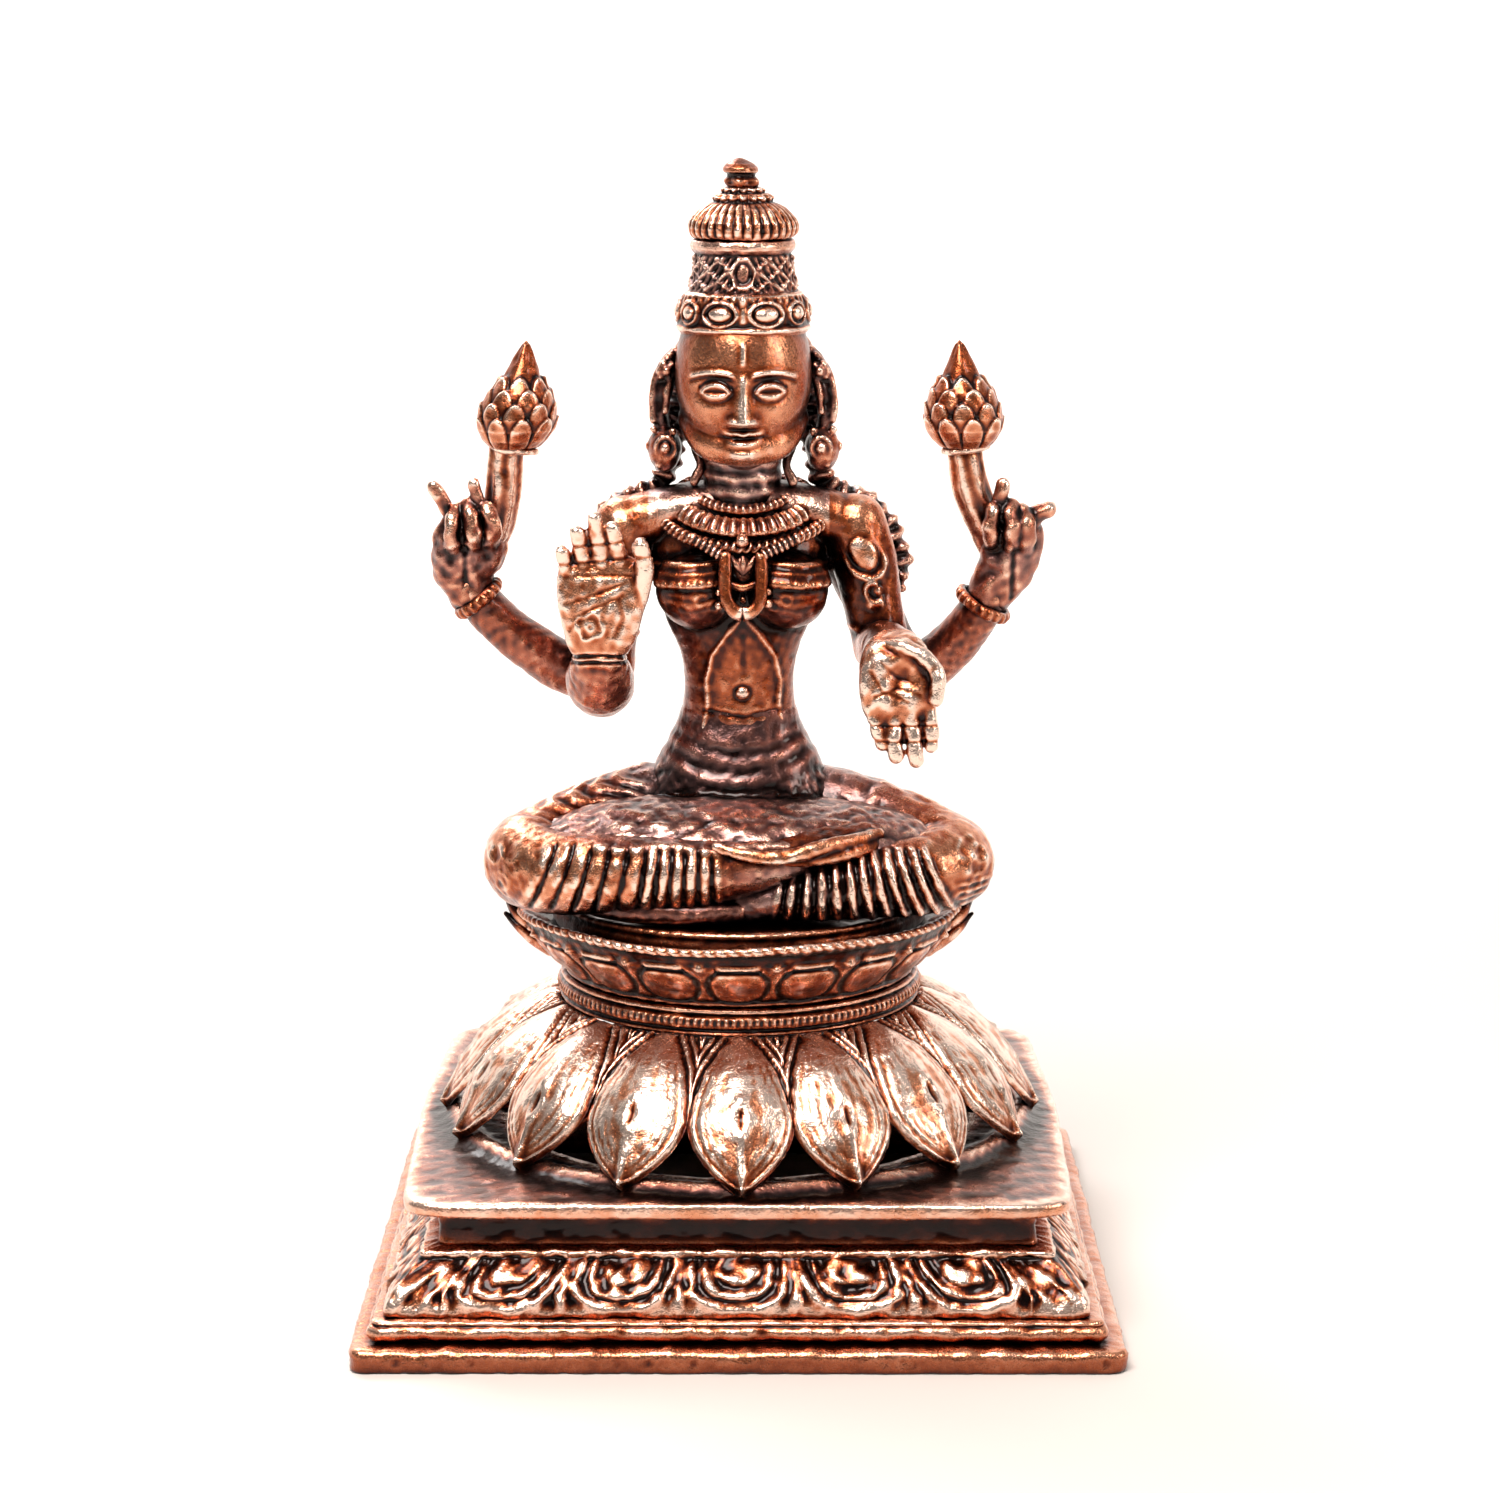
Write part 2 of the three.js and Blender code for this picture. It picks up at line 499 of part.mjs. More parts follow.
function makeFrontArms() {
  const x = body.chest + body.shoulderReach;
  const top = z.shoulder - 2.6;
  // Right arm: the elbow is bent and the palm is raised to the front.
  const elbow = [-x - 2.6, -2.6, z.waist + 0.4];
  const wrist = [-x - 2.4, -14.6, z.waist + 5.4];
  const upperRight = limb([
    [-x + 1.9, 0.5, top + 3.2, 2.6, 2.6], [-x + 0.4, 0.2, top - 0.6, arm.upper + 0.2, arm.upper],
    [-x - 1.6, -0.4, top - 7, arm.upper - 0.6, arm.upper - 0.6], [...elbow, arm.elbow, arm.elbow],
    [elbow[0], elbow[1] - 0.6, elbow[2] - 3.2, 2.4, 2.4],
  ], { steps: 8 });
  form("upper_arm_front_right", bright(), upperRight);
  form("forearm_front_right", bright(), limb([
    [elbow[0], elbow[1] - 2, elbow[2] - 1.6, 2.6, 2.6],
    [elbow[0], elbow[1] - 6, elbow[2] - 1.0, arm.fore, arm.fore],
    [wrist[0], wrist[1] + 2, wrist[2] - 2.6, arm.wrist + 0.6, arm.wrist + 0.4],
    [wrist[0], wrist[1], wrist[2] + 0.6, arm.wrist, arm.wrist - 0.3],
  ], { steps: 7 }));
  const palmZ = wrist[2] + 6.4;
  const palm = [
    [wrist[0], wrist[1] - 0.2, wrist[2] + 1.0, arm.wrist, 1.8],
    [wrist[0] + 0.1, wrist[1] - 1.2, palmZ - 2, 4.8, 2.2],
    [wrist[0] + 0.2, wrist[1] - 1.2, palmZ + 1.6, 5.4, 1.9],
    [wrist[0] - 0.2, wrist[1] - 1.0, palmZ + 4.4, 4.6, 1.3],
  ];
  const fingers = [
    [-4.0, 9.6, 0.95], [-1.5, 12.2, 1.0], [0.8, 13.0, 1.0], [3.0, 12.4, 0.95],
  ].map(([dx, reach, thick]) => [
    [wrist[0] + dx, wrist[1] - 1.0, palmZ + 2.4],
    [wrist[0] + dx * 1.12, wrist[1] - 1.4, wrist[2] + 4.2 + reach],
    thick,
  ]);
  fingers.push([[wrist[0] + 3.6, wrist[1] - 1.6, palmZ], [wrist[0] + 5.8, wrist[1] - 2.6, palmZ + 7], 1.1]);
  form("hand_front_right", bright(), ...hand(palm, fingers, [1, 0, 0]));

  // Left arm: the forearm comes forward and the open hand points down.
  const bend = [x + 3.2, -1.6, z.waist + 4.4];
  const cuff = [x + 4.8, -17.0, z.waist + 5.6];
  const upperLeft = limb([
    [x - 1.9, 0.5, top + 3.2, 2.6, 2.6], [x - 0.4, 0.2, top - 0.6, arm.upper + 0.2, arm.upper],
    [x + 1.4, -0.4, top - 6, arm.upper - 0.6, arm.upper - 0.6], [...bend, arm.elbow, arm.elbow],
    [bend[0], bend[1], bend[2] - 3.2, 2.4, 2.4],
  ], { steps: 8 });
  form("upper_arm_front_left", bright(), upperLeft);
  form("forearm_front_left", bright(), limb([
    [bend[0], bend[1] - 2.4, bend[2] - 0.6, 2.6, 2.6],
    [bend[0] + 0.4, bend[1] - 6, bend[2] + 0.2, arm.fore, arm.fore],
    [cuff[0], cuff[1] + 4, cuff[2] - 0.2, arm.wrist + 0.5, arm.wrist + 0.5],
    [cuff[0], cuff[1], cuff[2], arm.wrist, arm.wrist],
  ], { steps: 7 }));
  const openPalm = [
    [cuff[0], cuff[1] - 1.4, cuff[2] + 1.2, 2.8, 2.0], [cuff[0], cuff[1] - 4.4, cuff[2] - 0.8, 4.4, 2.2],
    [cuff[0] + 0.4, cuff[1] - 6.0, cuff[2] - 4.6, 4.7, 2.0],
    [cuff[0] + 0.8, cuff[1] - 6.4, cuff[2] - 7.2, 3.8, 1.4],
  ];
  const tips = [[-2.6, 11.0, 0.95], [-0.6, 13.4, 1.0], [1.4, 14.2, 1.0], [3.4, 12.6, 0.95]];
  const open = tips.map(([dx, drop, thick]) => [
    [cuff[0] + 0.5 + dx, cuff[1] - 6.3, cuff[2] - 5.6],
    [cuff[0] + 0.9 + dx * 1.05, cuff[1] - 7.4, cuff[2] - drop],
    thick,
  ]);
  const thumbTip = [cuff[0] + 5.6, cuff[1] - 8.0, cuff[2] - 5.0];
  open.push([[cuff[0] + 3.4, cuff[1] - 4.6, cuff[2] - 0.8], thumbTip, 1.1]);
  form("hand_front_left", bright(), ...hand(openPalm, open, [1, 0, 0]));

  const armletZ = z.bust + 4.6;
  const lean = 0.2; // the armlets sit square to the sloping upper arms
  const armlet = (upper, side) =>
    sleeve([upper], jewel.band, [side * x, 0, armletZ], [side * lean, 0, 1], jewel.armlet, 4 * arm.upper);
  form("armlet_right", bright(), armlet(upperRight, -1));
  form("armlet_left", bright(), armlet(upperLeft, 1));
}

function makeRearArms() {
  for (const [word, side] of [["right", -1], ["left", 1]]) {
    const outward = side < 0 ? 0 : 5.0; // the left rear elbow stands further out
    const inward = side < 0 ? 0 : 3.6; // and its wrist stands nearer
    const elbow = [rear.elbowX + outward, rear.y + 4.0, z.waist - 2.6];
    const wrist = [rear.wristX - inward, rear.y + 0.6, z.waist + rear.wristRise];
    const wholeArm = limb(mirrorX([
      [body.chest + 1.2, rear.y, z.shoulder - 3.4, 3.0, 3.0],
      [body.chest + 4.8, rear.y + 2.4, z.bust + 1, arm.upper - 1, arm.upper - 1],
      [...elbow, arm.elbow - 0.4, arm.elbow - 0.4],
      [(elbow[0] + wrist[0]) / 2, rear.y + 2.4, z.waist + 1.8, arm.fore, arm.fore],
      [...wrist, arm.wrist, arm.wrist],
    ], side), { across: [0, 1, 0], sides: 8, steps: 8 });
    form(`arm_rear_${word}`, bright(), wholeArm);

    const palmTop = [rear.wristX + 0.2, rear.y, wrist[2] + rear.handRise];
    const grip = [rear.wristX - 3.4, rear.y - 2.4, palmTop[2] + 1.6];
    const palm = [
      [wrist[0] + 0.2, wrist[1], wrist[2] + 0.8, arm.wrist, 2.2],
      [(wrist[0] + palmTop[0]) / 2 + 0.6, rear.y + 0.2, wrist[2] + 4.0, 3.6, 2.6],
      [palmTop[0] - 0.4, palmTop[1], palmTop[2] + 0.6, 3.0, 2.2],
    ];
    const fingers = [
      [[palmTop[0] + 0.6, rear.y, palmTop[2]], [palmTop[0] + 3.2, rear.y - 0.4, palmTop[2] + 6.4], 0.9],
      [[palmTop[0] - 2, rear.y - 1, palmTop[2]], [grip[0], grip[1], grip[2] + 3], 1.0],
      [[palmTop[0] - 2, rear.y - 1, palmTop[2] - 2], grip, 1.0],
    ].map(([root, tip, thick]) => [...mirrorX([root, tip], side), thick]);
    form(`hand_rear_${word}`, bright(), ...hand(mirrorX(palm, side), fingers, [1, 0, 0]));

    const fore = [(wrist[0] - elbow[0]) * side, wrist[1] - elbow[1], wrist[2] - elbow[2]];
    const cuff = [(wrist[0] - 1.6) * side, wrist[1], wrist[2] - 1.6];
    const bracelet = sleeve([wholeArm], jewel.band, cuff, fore, jewel.bracelet, 5 * arm.wrist);
    form(`bracelet_rear_${word}`, bright(), bracelet);

    const base = [rear.budX, rear.y, palmTop[2] + rear.budRise];
    const stem = limb(mirrorX([
      [base[0] + 3.6, rear.y - 0.4, palmTop[2] + 2.0, bud.stem, bud.stem],
      [base[0] + 1.6, rear.y, palmTop[2] + 6, bud.stem, bud.stem],
      [base[0] + 0.4, rear.y, base[2] - 1.2, bud.stem, bud.stem],
    ], side), { steps: 4, sides: 8 });
    const cup = lathed([
      [0, base[2] - 1.6], [bud.stem + 0.3, base[2] - 1.6], [bud.stem + 1.5, base[2] - 0.6],
      [bud.stem + 1.5, base[2]], [bud.radius - 0.4, base[2] + 2.4], [bud.radius, base[2] + 4.8],
      [bud.radius - 1.2, base[2] + 8], [1.8, base[2] + 10], [0, base[2] + bud.length],
    ], [side * (base[0] - 0.6), base[1], 0], 12);
    form(`lotus_bud_${word}`, bright(), stem, cup);
  }
}

makeBase();
makeDome();
makeSeat();
makeLegs();
makeBody();
makeFrontArms();
makeHeadDress();
makeRearArms();

figure.forEach(({ name, material, grown }, k) => {
  let made = grown(0);
  const box = made.boundingBox();
  for (const earlier of figure.slice(0, k)) {
    const cutter = earlier.grown(gap);
    const other = cutter.boundingBox();
    const apart = [0, 1, 2].some((i) => other.min[i] > box.max[i] || other.max[i] < box.min[i]);
    if (!apart) made = made.subtract(cutter);
  }
  place(name, withoutCrumbs(made), material);
});

export default statue;
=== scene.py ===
import bpy
import math
import numpy as np
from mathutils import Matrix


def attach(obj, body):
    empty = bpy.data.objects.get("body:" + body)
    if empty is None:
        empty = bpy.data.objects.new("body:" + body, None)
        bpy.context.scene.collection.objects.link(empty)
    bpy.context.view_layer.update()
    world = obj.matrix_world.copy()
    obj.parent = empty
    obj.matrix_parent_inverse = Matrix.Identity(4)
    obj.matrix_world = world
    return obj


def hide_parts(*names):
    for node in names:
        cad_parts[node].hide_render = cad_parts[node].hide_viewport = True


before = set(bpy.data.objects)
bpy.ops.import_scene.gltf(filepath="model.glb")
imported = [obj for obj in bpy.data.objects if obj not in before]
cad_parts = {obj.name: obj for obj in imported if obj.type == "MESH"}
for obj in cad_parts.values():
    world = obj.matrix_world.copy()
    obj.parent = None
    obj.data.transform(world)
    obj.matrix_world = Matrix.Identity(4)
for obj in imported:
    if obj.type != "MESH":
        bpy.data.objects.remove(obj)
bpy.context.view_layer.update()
mm = 0.001  # every shape below is worked out in millimetres and put into its mesh in metres

# camera: a portrait lens a little above the figure, looking slightly down
cameraView = {"place": (2.8, -504.2, 170.9), "down": 11.2, "left": 0.15, "lens": 91.2, "sensor": 36.0}
cameraData = bpy.data.cameras.new("studioCamera")
cameraData.lens = cameraView["lens"]
cameraData.sensor_width = cameraView["sensor"]
cameraData.clip_start = 0.01
camera = bpy.data.objects.new("studioCamera", cameraData)
camera.location = [c * mm for c in cameraView["place"]]
camera.rotation_euler = (math.radians(90 - cameraView["down"]), 0, math.radians(cameraView["left"]))
bpy.context.scene.collection.objects.link(camera)
bpy.context.scene.camera = camera
print("camera placed")


# sRGB hex to linear RGBA: each channel through the sRGB curve
def hexColour(text):
    channels = [int(text[k:k + 2], 16) / 255 for k in (1, 3, 5)]
    linear = [c / 12.92 if c <= 0.04045 else ((c + 0.055) / 1.055) ** 2.4 for c in channels]
    return (*linear, 1.0)


def addNode(tree, kind, settings=None, inputs=None):
    # one node with its own settings; each input takes a constant or another node's socket
    node = tree.nodes.new(kind)
    for key, value in (settings or {}).items():
        setattr(node, key, value)
    for key, value in (inputs or {}).items():
        if isinstance(value, bpy.types.NodeSocket):
            tree.links.new(value, node.inputs[key])
        else:
            node.inputs[key].default_value = value
    return node


def smoothStep(x, low, high):
    t = np.clip((x - low) / (high - low), 0, 1)
    return t * t * (3 - 2 * t)


# a rounded bump: one at the centre, falling off as a Gaussian
def bell(x, centre, width):
    return np.exp(-((x - centre) / width) ** 2)


# hand-made unevenness: a sum of sine waves in random directions, about -1 to 1
def unevenness(points, size, seed, waves=14):
    rng = np.random.default_rng(seed)
    direction = rng.normal(size=(waves, 3))
    direction /= np.linalg.norm(direction, axis=1)[:, None]
    turns = 2 * math.pi / (size * rng.uniform(0.7, 1.7, waves))
    phase = rng.uniform(0, 2 * math.pi, waves)
    return np.sin(points @ (direction * turns[:, None]).T + phase).sum(-1) / math.sqrt(waves)


# values on a smooth line through the stations (Catmull-Rom), at even steps of its length
def alongCurve(stations, count):
    s = np.asarray(stations, float)
    padded = np.vstack([2 * s[0] - s[1], s, 2 * s[-1] - s[-2]])
    t = np.linspace(0, len(s) - 1, count * 6)
    k = np.minimum(t.astype(int), len(s) - 2)
    f = (t - k)[:, None]
    a, b, c, d = padded[k], padded[k + 1], padded[k + 2], padded[k + 3]
    line = 0.5 * (2 * b + (c - a) * f + (2 * a - 5 * b + 4 * c - d) * f ** 2 + (3 * b - a - 3 * c + d) * f ** 3)
    length = np.concatenate([[0], np.cumsum(np.linalg.norm(np.diff(line[:, :3], axis=0), axis=1))])
    even = np.linspace(0, length[-1], count)
    return np.stack([np.interp(even, length, line[:, i]) for i in range(s.shape[1])], 1), even


# faces of a grid of points (rows, columns): the columns close round, and the ends close on their mean point
# ("cap"), join each other ("loop") or stay open ("open")
def gridSurface(points, around=True, ends="cap"):
    rows, columns = points.shape[:2]
    index = np.arange(rows * columns).reshape(rows, columns)
    if ends == "loop":
        index = np.vstack([index, index[:1]])
    if around:
        index = np.hstack([index, index[:, :1]])
    quads = np.stack([index[:-1, :-1], index[:-1, 1:], index[1:, 1:], index[1:, :-1]], -1).reshape(-1, 4)
    vertices = points.reshape(-1, 3)
    triangles = np.zeros((0, 3), int)
    if ends == "cap":
        middle = np.array([points[0].mean(0), points[-1].mean(0)])
        first, last = len(vertices), len(vertices) + 1
        vertices = np.vstack([vertices, middle])
        low, high = index[0], index[-1]
        triangles = np.vstack([
            np.stack([np.full(len(low) - 1, first), low[1:], low[:-1]], 1),
            np.stack([np.full(len(high) - 1, last), high[:-1], high[1:]], 1)])
    return vertices, quads, triangles


def joinShapes(shapes):
    vertices, quads, triangles, shift = [], [], [], 0
    for v, q, t in shapes:
        vertices.append(v)
        quads.append(q + shift)
        triangles.append(t + shift)
        shift += len(v)
    return np.vstack(vertices), np.vstack(quads), np.vstack(triangles)


# turns a closed shape's faces outwards: its signed volume has to be positive
def facingOut(shape):
    v, q, t = shape
    tris = np.vstack([q[:, [0, 1, 2]], q[:, [0, 2, 3]], t])
    volume = np.einsum("ij,ij->i", v[tris[:, 0]], np.cross(v[tris[:, 1]], v[tris[:, 2]])).sum()
    return shape if volume > 0 else (v, q[:, ::-1], t[:, ::-1])


def meshOf(name, shape, scale=mm):
    vertices, quads, triangles = shape
    mesh = bpy.data.meshes.new(name)
    mesh.vertices.add(len(vertices))
    mesh.vertices.foreach_set("co", (vertices * scale).astype(np.float32).ravel())
    corners = np.concatenate([quads.ravel(), triangles.ravel()]).astype(np.int32)
    starts = np.concatenate([np.arange(len(quads)) * 4, len(quads) * 4 + np.arange(len(triangles)) * 3])
    mesh.loops.add(len(corners))
    mesh.loops.foreach_set("vertex_index", corners)
    mesh.polygons.add(len(starts))
    mesh.polygons.foreach_set("loop_start", starts.astype(np.int32))
    mesh.update(calc_edges=True)
    mesh.polygons.foreach_set("use_smooth", np.ones(len(starts), bool))
    return mesh


def edgesOf(shape):
    q, t = shape[1], shape[2]
    pairs = np.vstack([q[:, [0, 1]], q[:, [1, 2]], q[:, [2, 3]], q[:, [3, 0]],
                       t[:, [0, 1]], t[:, [1, 2]], t[:, [2, 0]]])
    return np.unique(np.sort(pairs, 1), axis=0)


def neighbourMean(values, edges, count):
    total = np.zeros_like(values)
    for k in range(values.shape[1]):
        total[:, k] = (np.bincount(edges[:, 0], values[edges[:, 1], k], len(values))
                       + np.bincount(edges[:, 1], values[edges[:, 0], k], len(values)))
    return total / count[:, None]


# each round moves every point part of the way to the mean of its neighbours
def relaxed(vertices, edges, rounds, strength=0.6):
    count = np.maximum(np.bincount(edges.ravel(), minlength=len(vertices)), 1)
    for _ in range(rounds):
        vertices = vertices + strength * (neighbourMean(vertices, edges, count) - vertices)
    return vertices


def normalsOf(shape):
    v, q, t = shape
    normal = np.zeros_like(v)
    for faces, last in ((q, 3), (t, 2)):
        if len(faces):
            across = np.cross(v[faces[:, 1]] - v[faces[:, last]], v[faces[:, 2]] - v[faces[:, 0]])
            for corner in range(faces.shape[1]):
                for k in range(3):
                    normal[:, k] += np.bincount(faces[:, corner], across[:, k], len(v))
    return normal / np.maximum(np.linalg.norm(normal, axis=1), 1e-12)[:, None]


# fuses overlapping closed shapes into one skin of even quads, then relaxes it
def welded(shapes, grain, rounds=3):
    holder = bpy.data.objects.new("weld", meshOf("weld", joinShapes([facingOut(s) for s in shapes]), 1.0))
    bpy.context.scene.collection.objects.link(holder)
    modifier = holder.modifiers.new("fuse", "REMESH")
    modifier.mode = "VOXEL"
    modifier.voxel_size = grain
    modifier.adaptivity = 0
    fused = bpy.data.meshes.new_from_object(holder.evaluated_get(bpy.context.evaluated_depsgraph_get()))
    vertices = np.zeros(len(fused.vertices) * 3, np.float32)
    fused.vertices.foreach_get("co", vertices)
    loops = np.zeros(len(fused.loops), np.int32)
    fused.loops.foreach_get("vertex_index", loops)
    vertices = vertices.reshape(-1, 3).astype(float)
    bpy.data.objects.remove(holder)
    bpy.data.meshes.remove(fused)
    shape = (vertices, loops.reshape(-1, 4).astype(int), np.zeros((0, 3), int))
    return (relaxed(vertices, edgesOf(shape), rounds), shape[1], shape[2])


# moves each point along its normal by relief, in millimetres
def shifted(shape, relief, rounds=0):
    vertices = shape[0] + normalsOf(shape) * relief[:, None]
    if rounds:
        vertices = relaxed(vertices, edgesOf(shape), rounds, 0.4)
    return vertices, shape[1], shape[2]


# What every piece shares: how strongly a proud spot polishes, and over what width it is judged.
wearLook = {"height": 0.13, "rounds": 14, "hammer": 0.055}


# adds hand unevenness, measures which spots stand proud of their surroundings (polished) and which lie deep
# (patinated), and stores both as attributes for the material. A per-piece number or function added to the wear
# value carries rubbed polish on some pieces, painted highlight on some and painted shade on others
def finishPiece(name, shape, material, nodes, slot, stain=None, uneven=1.0, seed=1, wear=1.0, polishAndPaintedLight=0.0):
    shape = facingOut(shape)
    v = shape[0]
    bumps = unevenness(v, 3.6, seed) + 0.6 * unevenness(v, 1.5, seed + 50)
    v = v + normalsOf(shape) * (bumps * wearLook["hammer"] * uneven)[:, None]
    v[:, 2] = np.maximum(v[:, 2], 0)
    shape = (v, shape[1], shape[2])
    edges = edgesOf(shape)
    flat = relaxed(v, edges, wearLook["rounds"], 0.7)
    proud = np.einsum("ij,ij->i", v - flat, normalsOf(shape)) / wearLook["height"]
    mesh = meshOf(name, shape)
    attribute = mesh.attributes.new("wear", "FLOAT", "POINT")
    attribute.data.foreach_set("value", (np.clip(0.5 + 0.5 * proud * wear, 0, 1) + (polishAndPaintedLight(v) if callable(polishAndPaintedLight) else polishAndPaintedLight)).astype(np.float32))
    dirt = np.zeros(len(v)) if stain is None else np.clip(stain(v), 0, 1)
    attribute = mesh.attributes.new("stain", "FLOAT", "POINT")
    attribute.data.foreach_set("value", dirt.astype(np.float32))
    mesh.materials.append(material)
    piece = bpy.data.objects.new(name, mesh)
    bpy.context.scene.collection.objects.link(piece)
    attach(piece, "root")
    if nodes:
        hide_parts(*nodes)
    return piece


copperLook = {
    "deep": "#140503", "brown": "#4a1a0c", "copper": "#a3502b", "rose": "#dd9874", "bright": "#fbdfce",
    "greyPatina": "#a08b8b", "pitSize": 0.42, "grainSize": 1.3, "patchSize": 9.0,
    "wear": 1.15, "patches": 0.40, "grain": 0.20, "hollow": 0.80, "occlusionShadeReach": 6.0, "flat": 0.42,
    "roughness": 0.34, "gloss": 0.10, "pitRoughness": 0.14, "coat": 0.4, "coatRoughness": 0.14, "pitDepth": 0.18,
}


# Lost-wax cast copper under a thin clear lacquer, rubbed bright on its high spots over a brown
# oxide patina. The eye gets pinkish white glints on proud edges, red-brown on the flats and
# near-black in the recesses, which is dark patina together with painted shade. shade moves the whole range darker or
# lighter.
def castCopper(name, shade):
    look = copperLook
    material = bpy.data.materials.new(name)
    material.use_nodes = True
    tree = material.node_tree
    tree.nodes.clear()
    place = addNode(tree, "ShaderNodeTexCoord").outputs["Object"]
    # wear: polish on proud spots and patina in hollows, plus the painted highlight and painted shade set per piece
    wear = addNode(tree, "ShaderNodeAttribute", {"attribute_name": "wear"}).outputs["Fac"]
    stain = addNode(tree, "ShaderNodeAttribute", {"attribute_name": "stain"}).outputs["Fac"]
    # cloudy patches centimetres across, grain of about a millimetre and pits of about half
    patches, grain, pits = (addNode(tree, "ShaderNodeTexNoise", None, {
        "Vector": place, "Scale": 1 / (look[size] * mm), "Detail": detail, "Roughness": 0.65,
    }).outputs["Fac"] for size, detail in (("patchSize", 3.0), ("grainSize", 4.0), ("pitSize", 2.0)))
    # painted shade: ambient occlusion within a few millimetres darkens the colour in recesses and under parts, where
    # shade falls
    hollow = addNode(tree, "ShaderNodeAmbientOcclusion", {"samples": 6}, {"Distance": look["occlusionShadeReach"] * mm}).outputs["AO"]

    # polish level: "flat" on an open even surface, more on proud spots, less in hollows, where the ambient-occlusion
    # term also paints shade into the colour
    level = look["flat"] + shade - 0.5 * (look["wear"] + look["patches"] + look["grain"]) - look["hollow"]
    for source, share in ((wear, "wear"), (patches, "patches"), (grain, "grain"), (hollow, "hollow")):
        level = addNode(tree, "ShaderNodeMath", {"operation": "MULTIPLY_ADD"}, {0: source, 1: look[share], 2: level}).outputs[0]
    level = addNode(tree, "ShaderNodeMath", {"operation": "MAXIMUM", "use_clamp": True}, {0: level, 1: 0.0}).outputs[0]

    rubbed, greyed = (addNode(tree, "ShaderNodeValToRGB", None, {"Fac": level}) for _ in range(2))
    for ramp, stops in ((rubbed, ((0.06, "deep"), (0.32, "brown"), (0.58, "copper"), (0.82, "rose"), (1.0, "bright"))),
                        (greyed, ((0.05, "deep"), (0.55, "greyPatina"), (1.0, "bright")))):
        while len(ramp.color_ramp.elements) < len(stops):
            ramp.color_ramp.elements.new(0.5)
        for element, (position, colour) in zip(ramp.color_ramp.elements, stops):
            element.position = position
            element.color = hexColour(look[colour])
    # the grey-violet patina lies in broken patches wherever the stain is strong
    cover = addNode(tree, "ShaderNodeMath", {"operation": "MULTIPLY_ADD"}, {0: patches, 1: 1.2, 2: -0.05}).outputs[0]
    cover = addNode(tree, "ShaderNodeMath", {"operation": "MULTIPLY", "use_clamp": True}, {0: cover, 1: stain}).outputs[0]
    colour = addNode(tree, "ShaderNodeMix", {"data_type": "RGBA"}, {0: cover, 6: rubbed.outputs["Color"], 7: greyed.outputs["Color"]}).outputs[2]

    # rubbed copper is glossier than patina, and the pits break up the gloss
    rough = addNode(tree, "ShaderNodeMath", {"operation": "MULTIPLY_ADD"}, {0: level, 1: -look["gloss"], 2: look["roughness"] - look["pitRoughness"] / 2}).outputs[0]
    rough = addNode(tree, "ShaderNodeMath", {"operation": "MULTIPLY_ADD", "use_clamp": True}, {0: pits, 1: look["pitRoughness"], 2: rough}).outputs[0]

    # casting skin: fine pits over the coarser grain
    height = addNode(tree, "ShaderNodeMath", {"operation": "MULTIPLY_ADD"}, {0: pits, 1: 0.5, 2: grain}).outputs[0]
    bump = addNode(tree, "ShaderNodeBump", None, {"Strength": 0.8, "Distance": look["pitDepth"] * mm, "Height": height})
    surface = addNode(tree, "ShaderNodeBsdfPrincipled", None, {
        "Metallic": 1.0, "Coat Weight": look["coat"], "Coat Roughness": look["coatRoughness"],
        "Base Color": colour, "Roughness": rough, "Normal": bump.outputs[0]})
    addNode(tree, "ShaderNodeOutputMaterial", None, {"Surface": surface.outputs[0]})
    return material


polishedCopper = castCopper("castCopperPolished", 0.0)
patinatedCopper = castCopper("castCopperPatinated", -0.06)
baseCopper = castCopper("castCopperBase", 0.05)
# darkest copy, for the plinth neck under the slab and the dome shell behind the petals: dark patina together with
# painted shade in these recesses
recessCopper = castCopper("castCopperShadedBlackened", -0.16)
polished = dict(material=polishedCopper, slot="polished_copper")
patinated = dict(material=patinatedCopper, slot="patinated_copper")
shadedBlackened = dict(material=recessCopper, slot="patinated_copper")
print("copper materials made")


# a closed profile of [offset, height] points carried round a square with rounded corners. relief(along,
# height, side) adds outward millimetres on the outer face
def squareMoulding(profile, half, radius, step=0.5, bow=0.0, relief=None):
    straight = np.arange(-(half - radius), half - radius + step / 2, step)
    arc = np.linspace(0, math.pi / 2, 9)[1:-1]
    along, corner, side = [], [], []
    for k in range(4):
        along += [straight, np.full(len(arc), half - radius)]
        corner += [np.zeros(len(straight)), arc]
        side += [np.full(len(straight), k), np.full(len(arc), k)]
    along, corner, side = (np.concatenate(part) for part in (along, corner, side))
    turn = side * math.pi / 2
    profile = np.asarray(profile, float)
    offset, height = profile[:, 0][:, None], profile[:, 1][:, None]
    # the corner keeps a small rounding of its own at every height
    rounding = np.maximum(radius + offset, 0.4)
    core = half + offset - rounding
    inner = half - radius
    outward = rounding + np.zeros_like(along)[None]
    if relief is not None:
        outward = outward + relief(along[None] + 0 * height, height + 0 * along[None], side)
    swell = bow * (1 - (along / inner) ** 2) * (corner == 0)
    # front side first: along +X, facing -Y, then turned by quarter turns
    x = along * core / inner + outward * np.sin(corner)
    y = -(core + outward * np.cos(corner) + swell)
    px = x * np.cos(turn) - y * np.sin(turn)
    py = x * np.sin(turn) + y * np.cos(turn)
    points = np.stack([px, py, height + 0 * px], -1)
    return gridSurface(points, ends="loop")


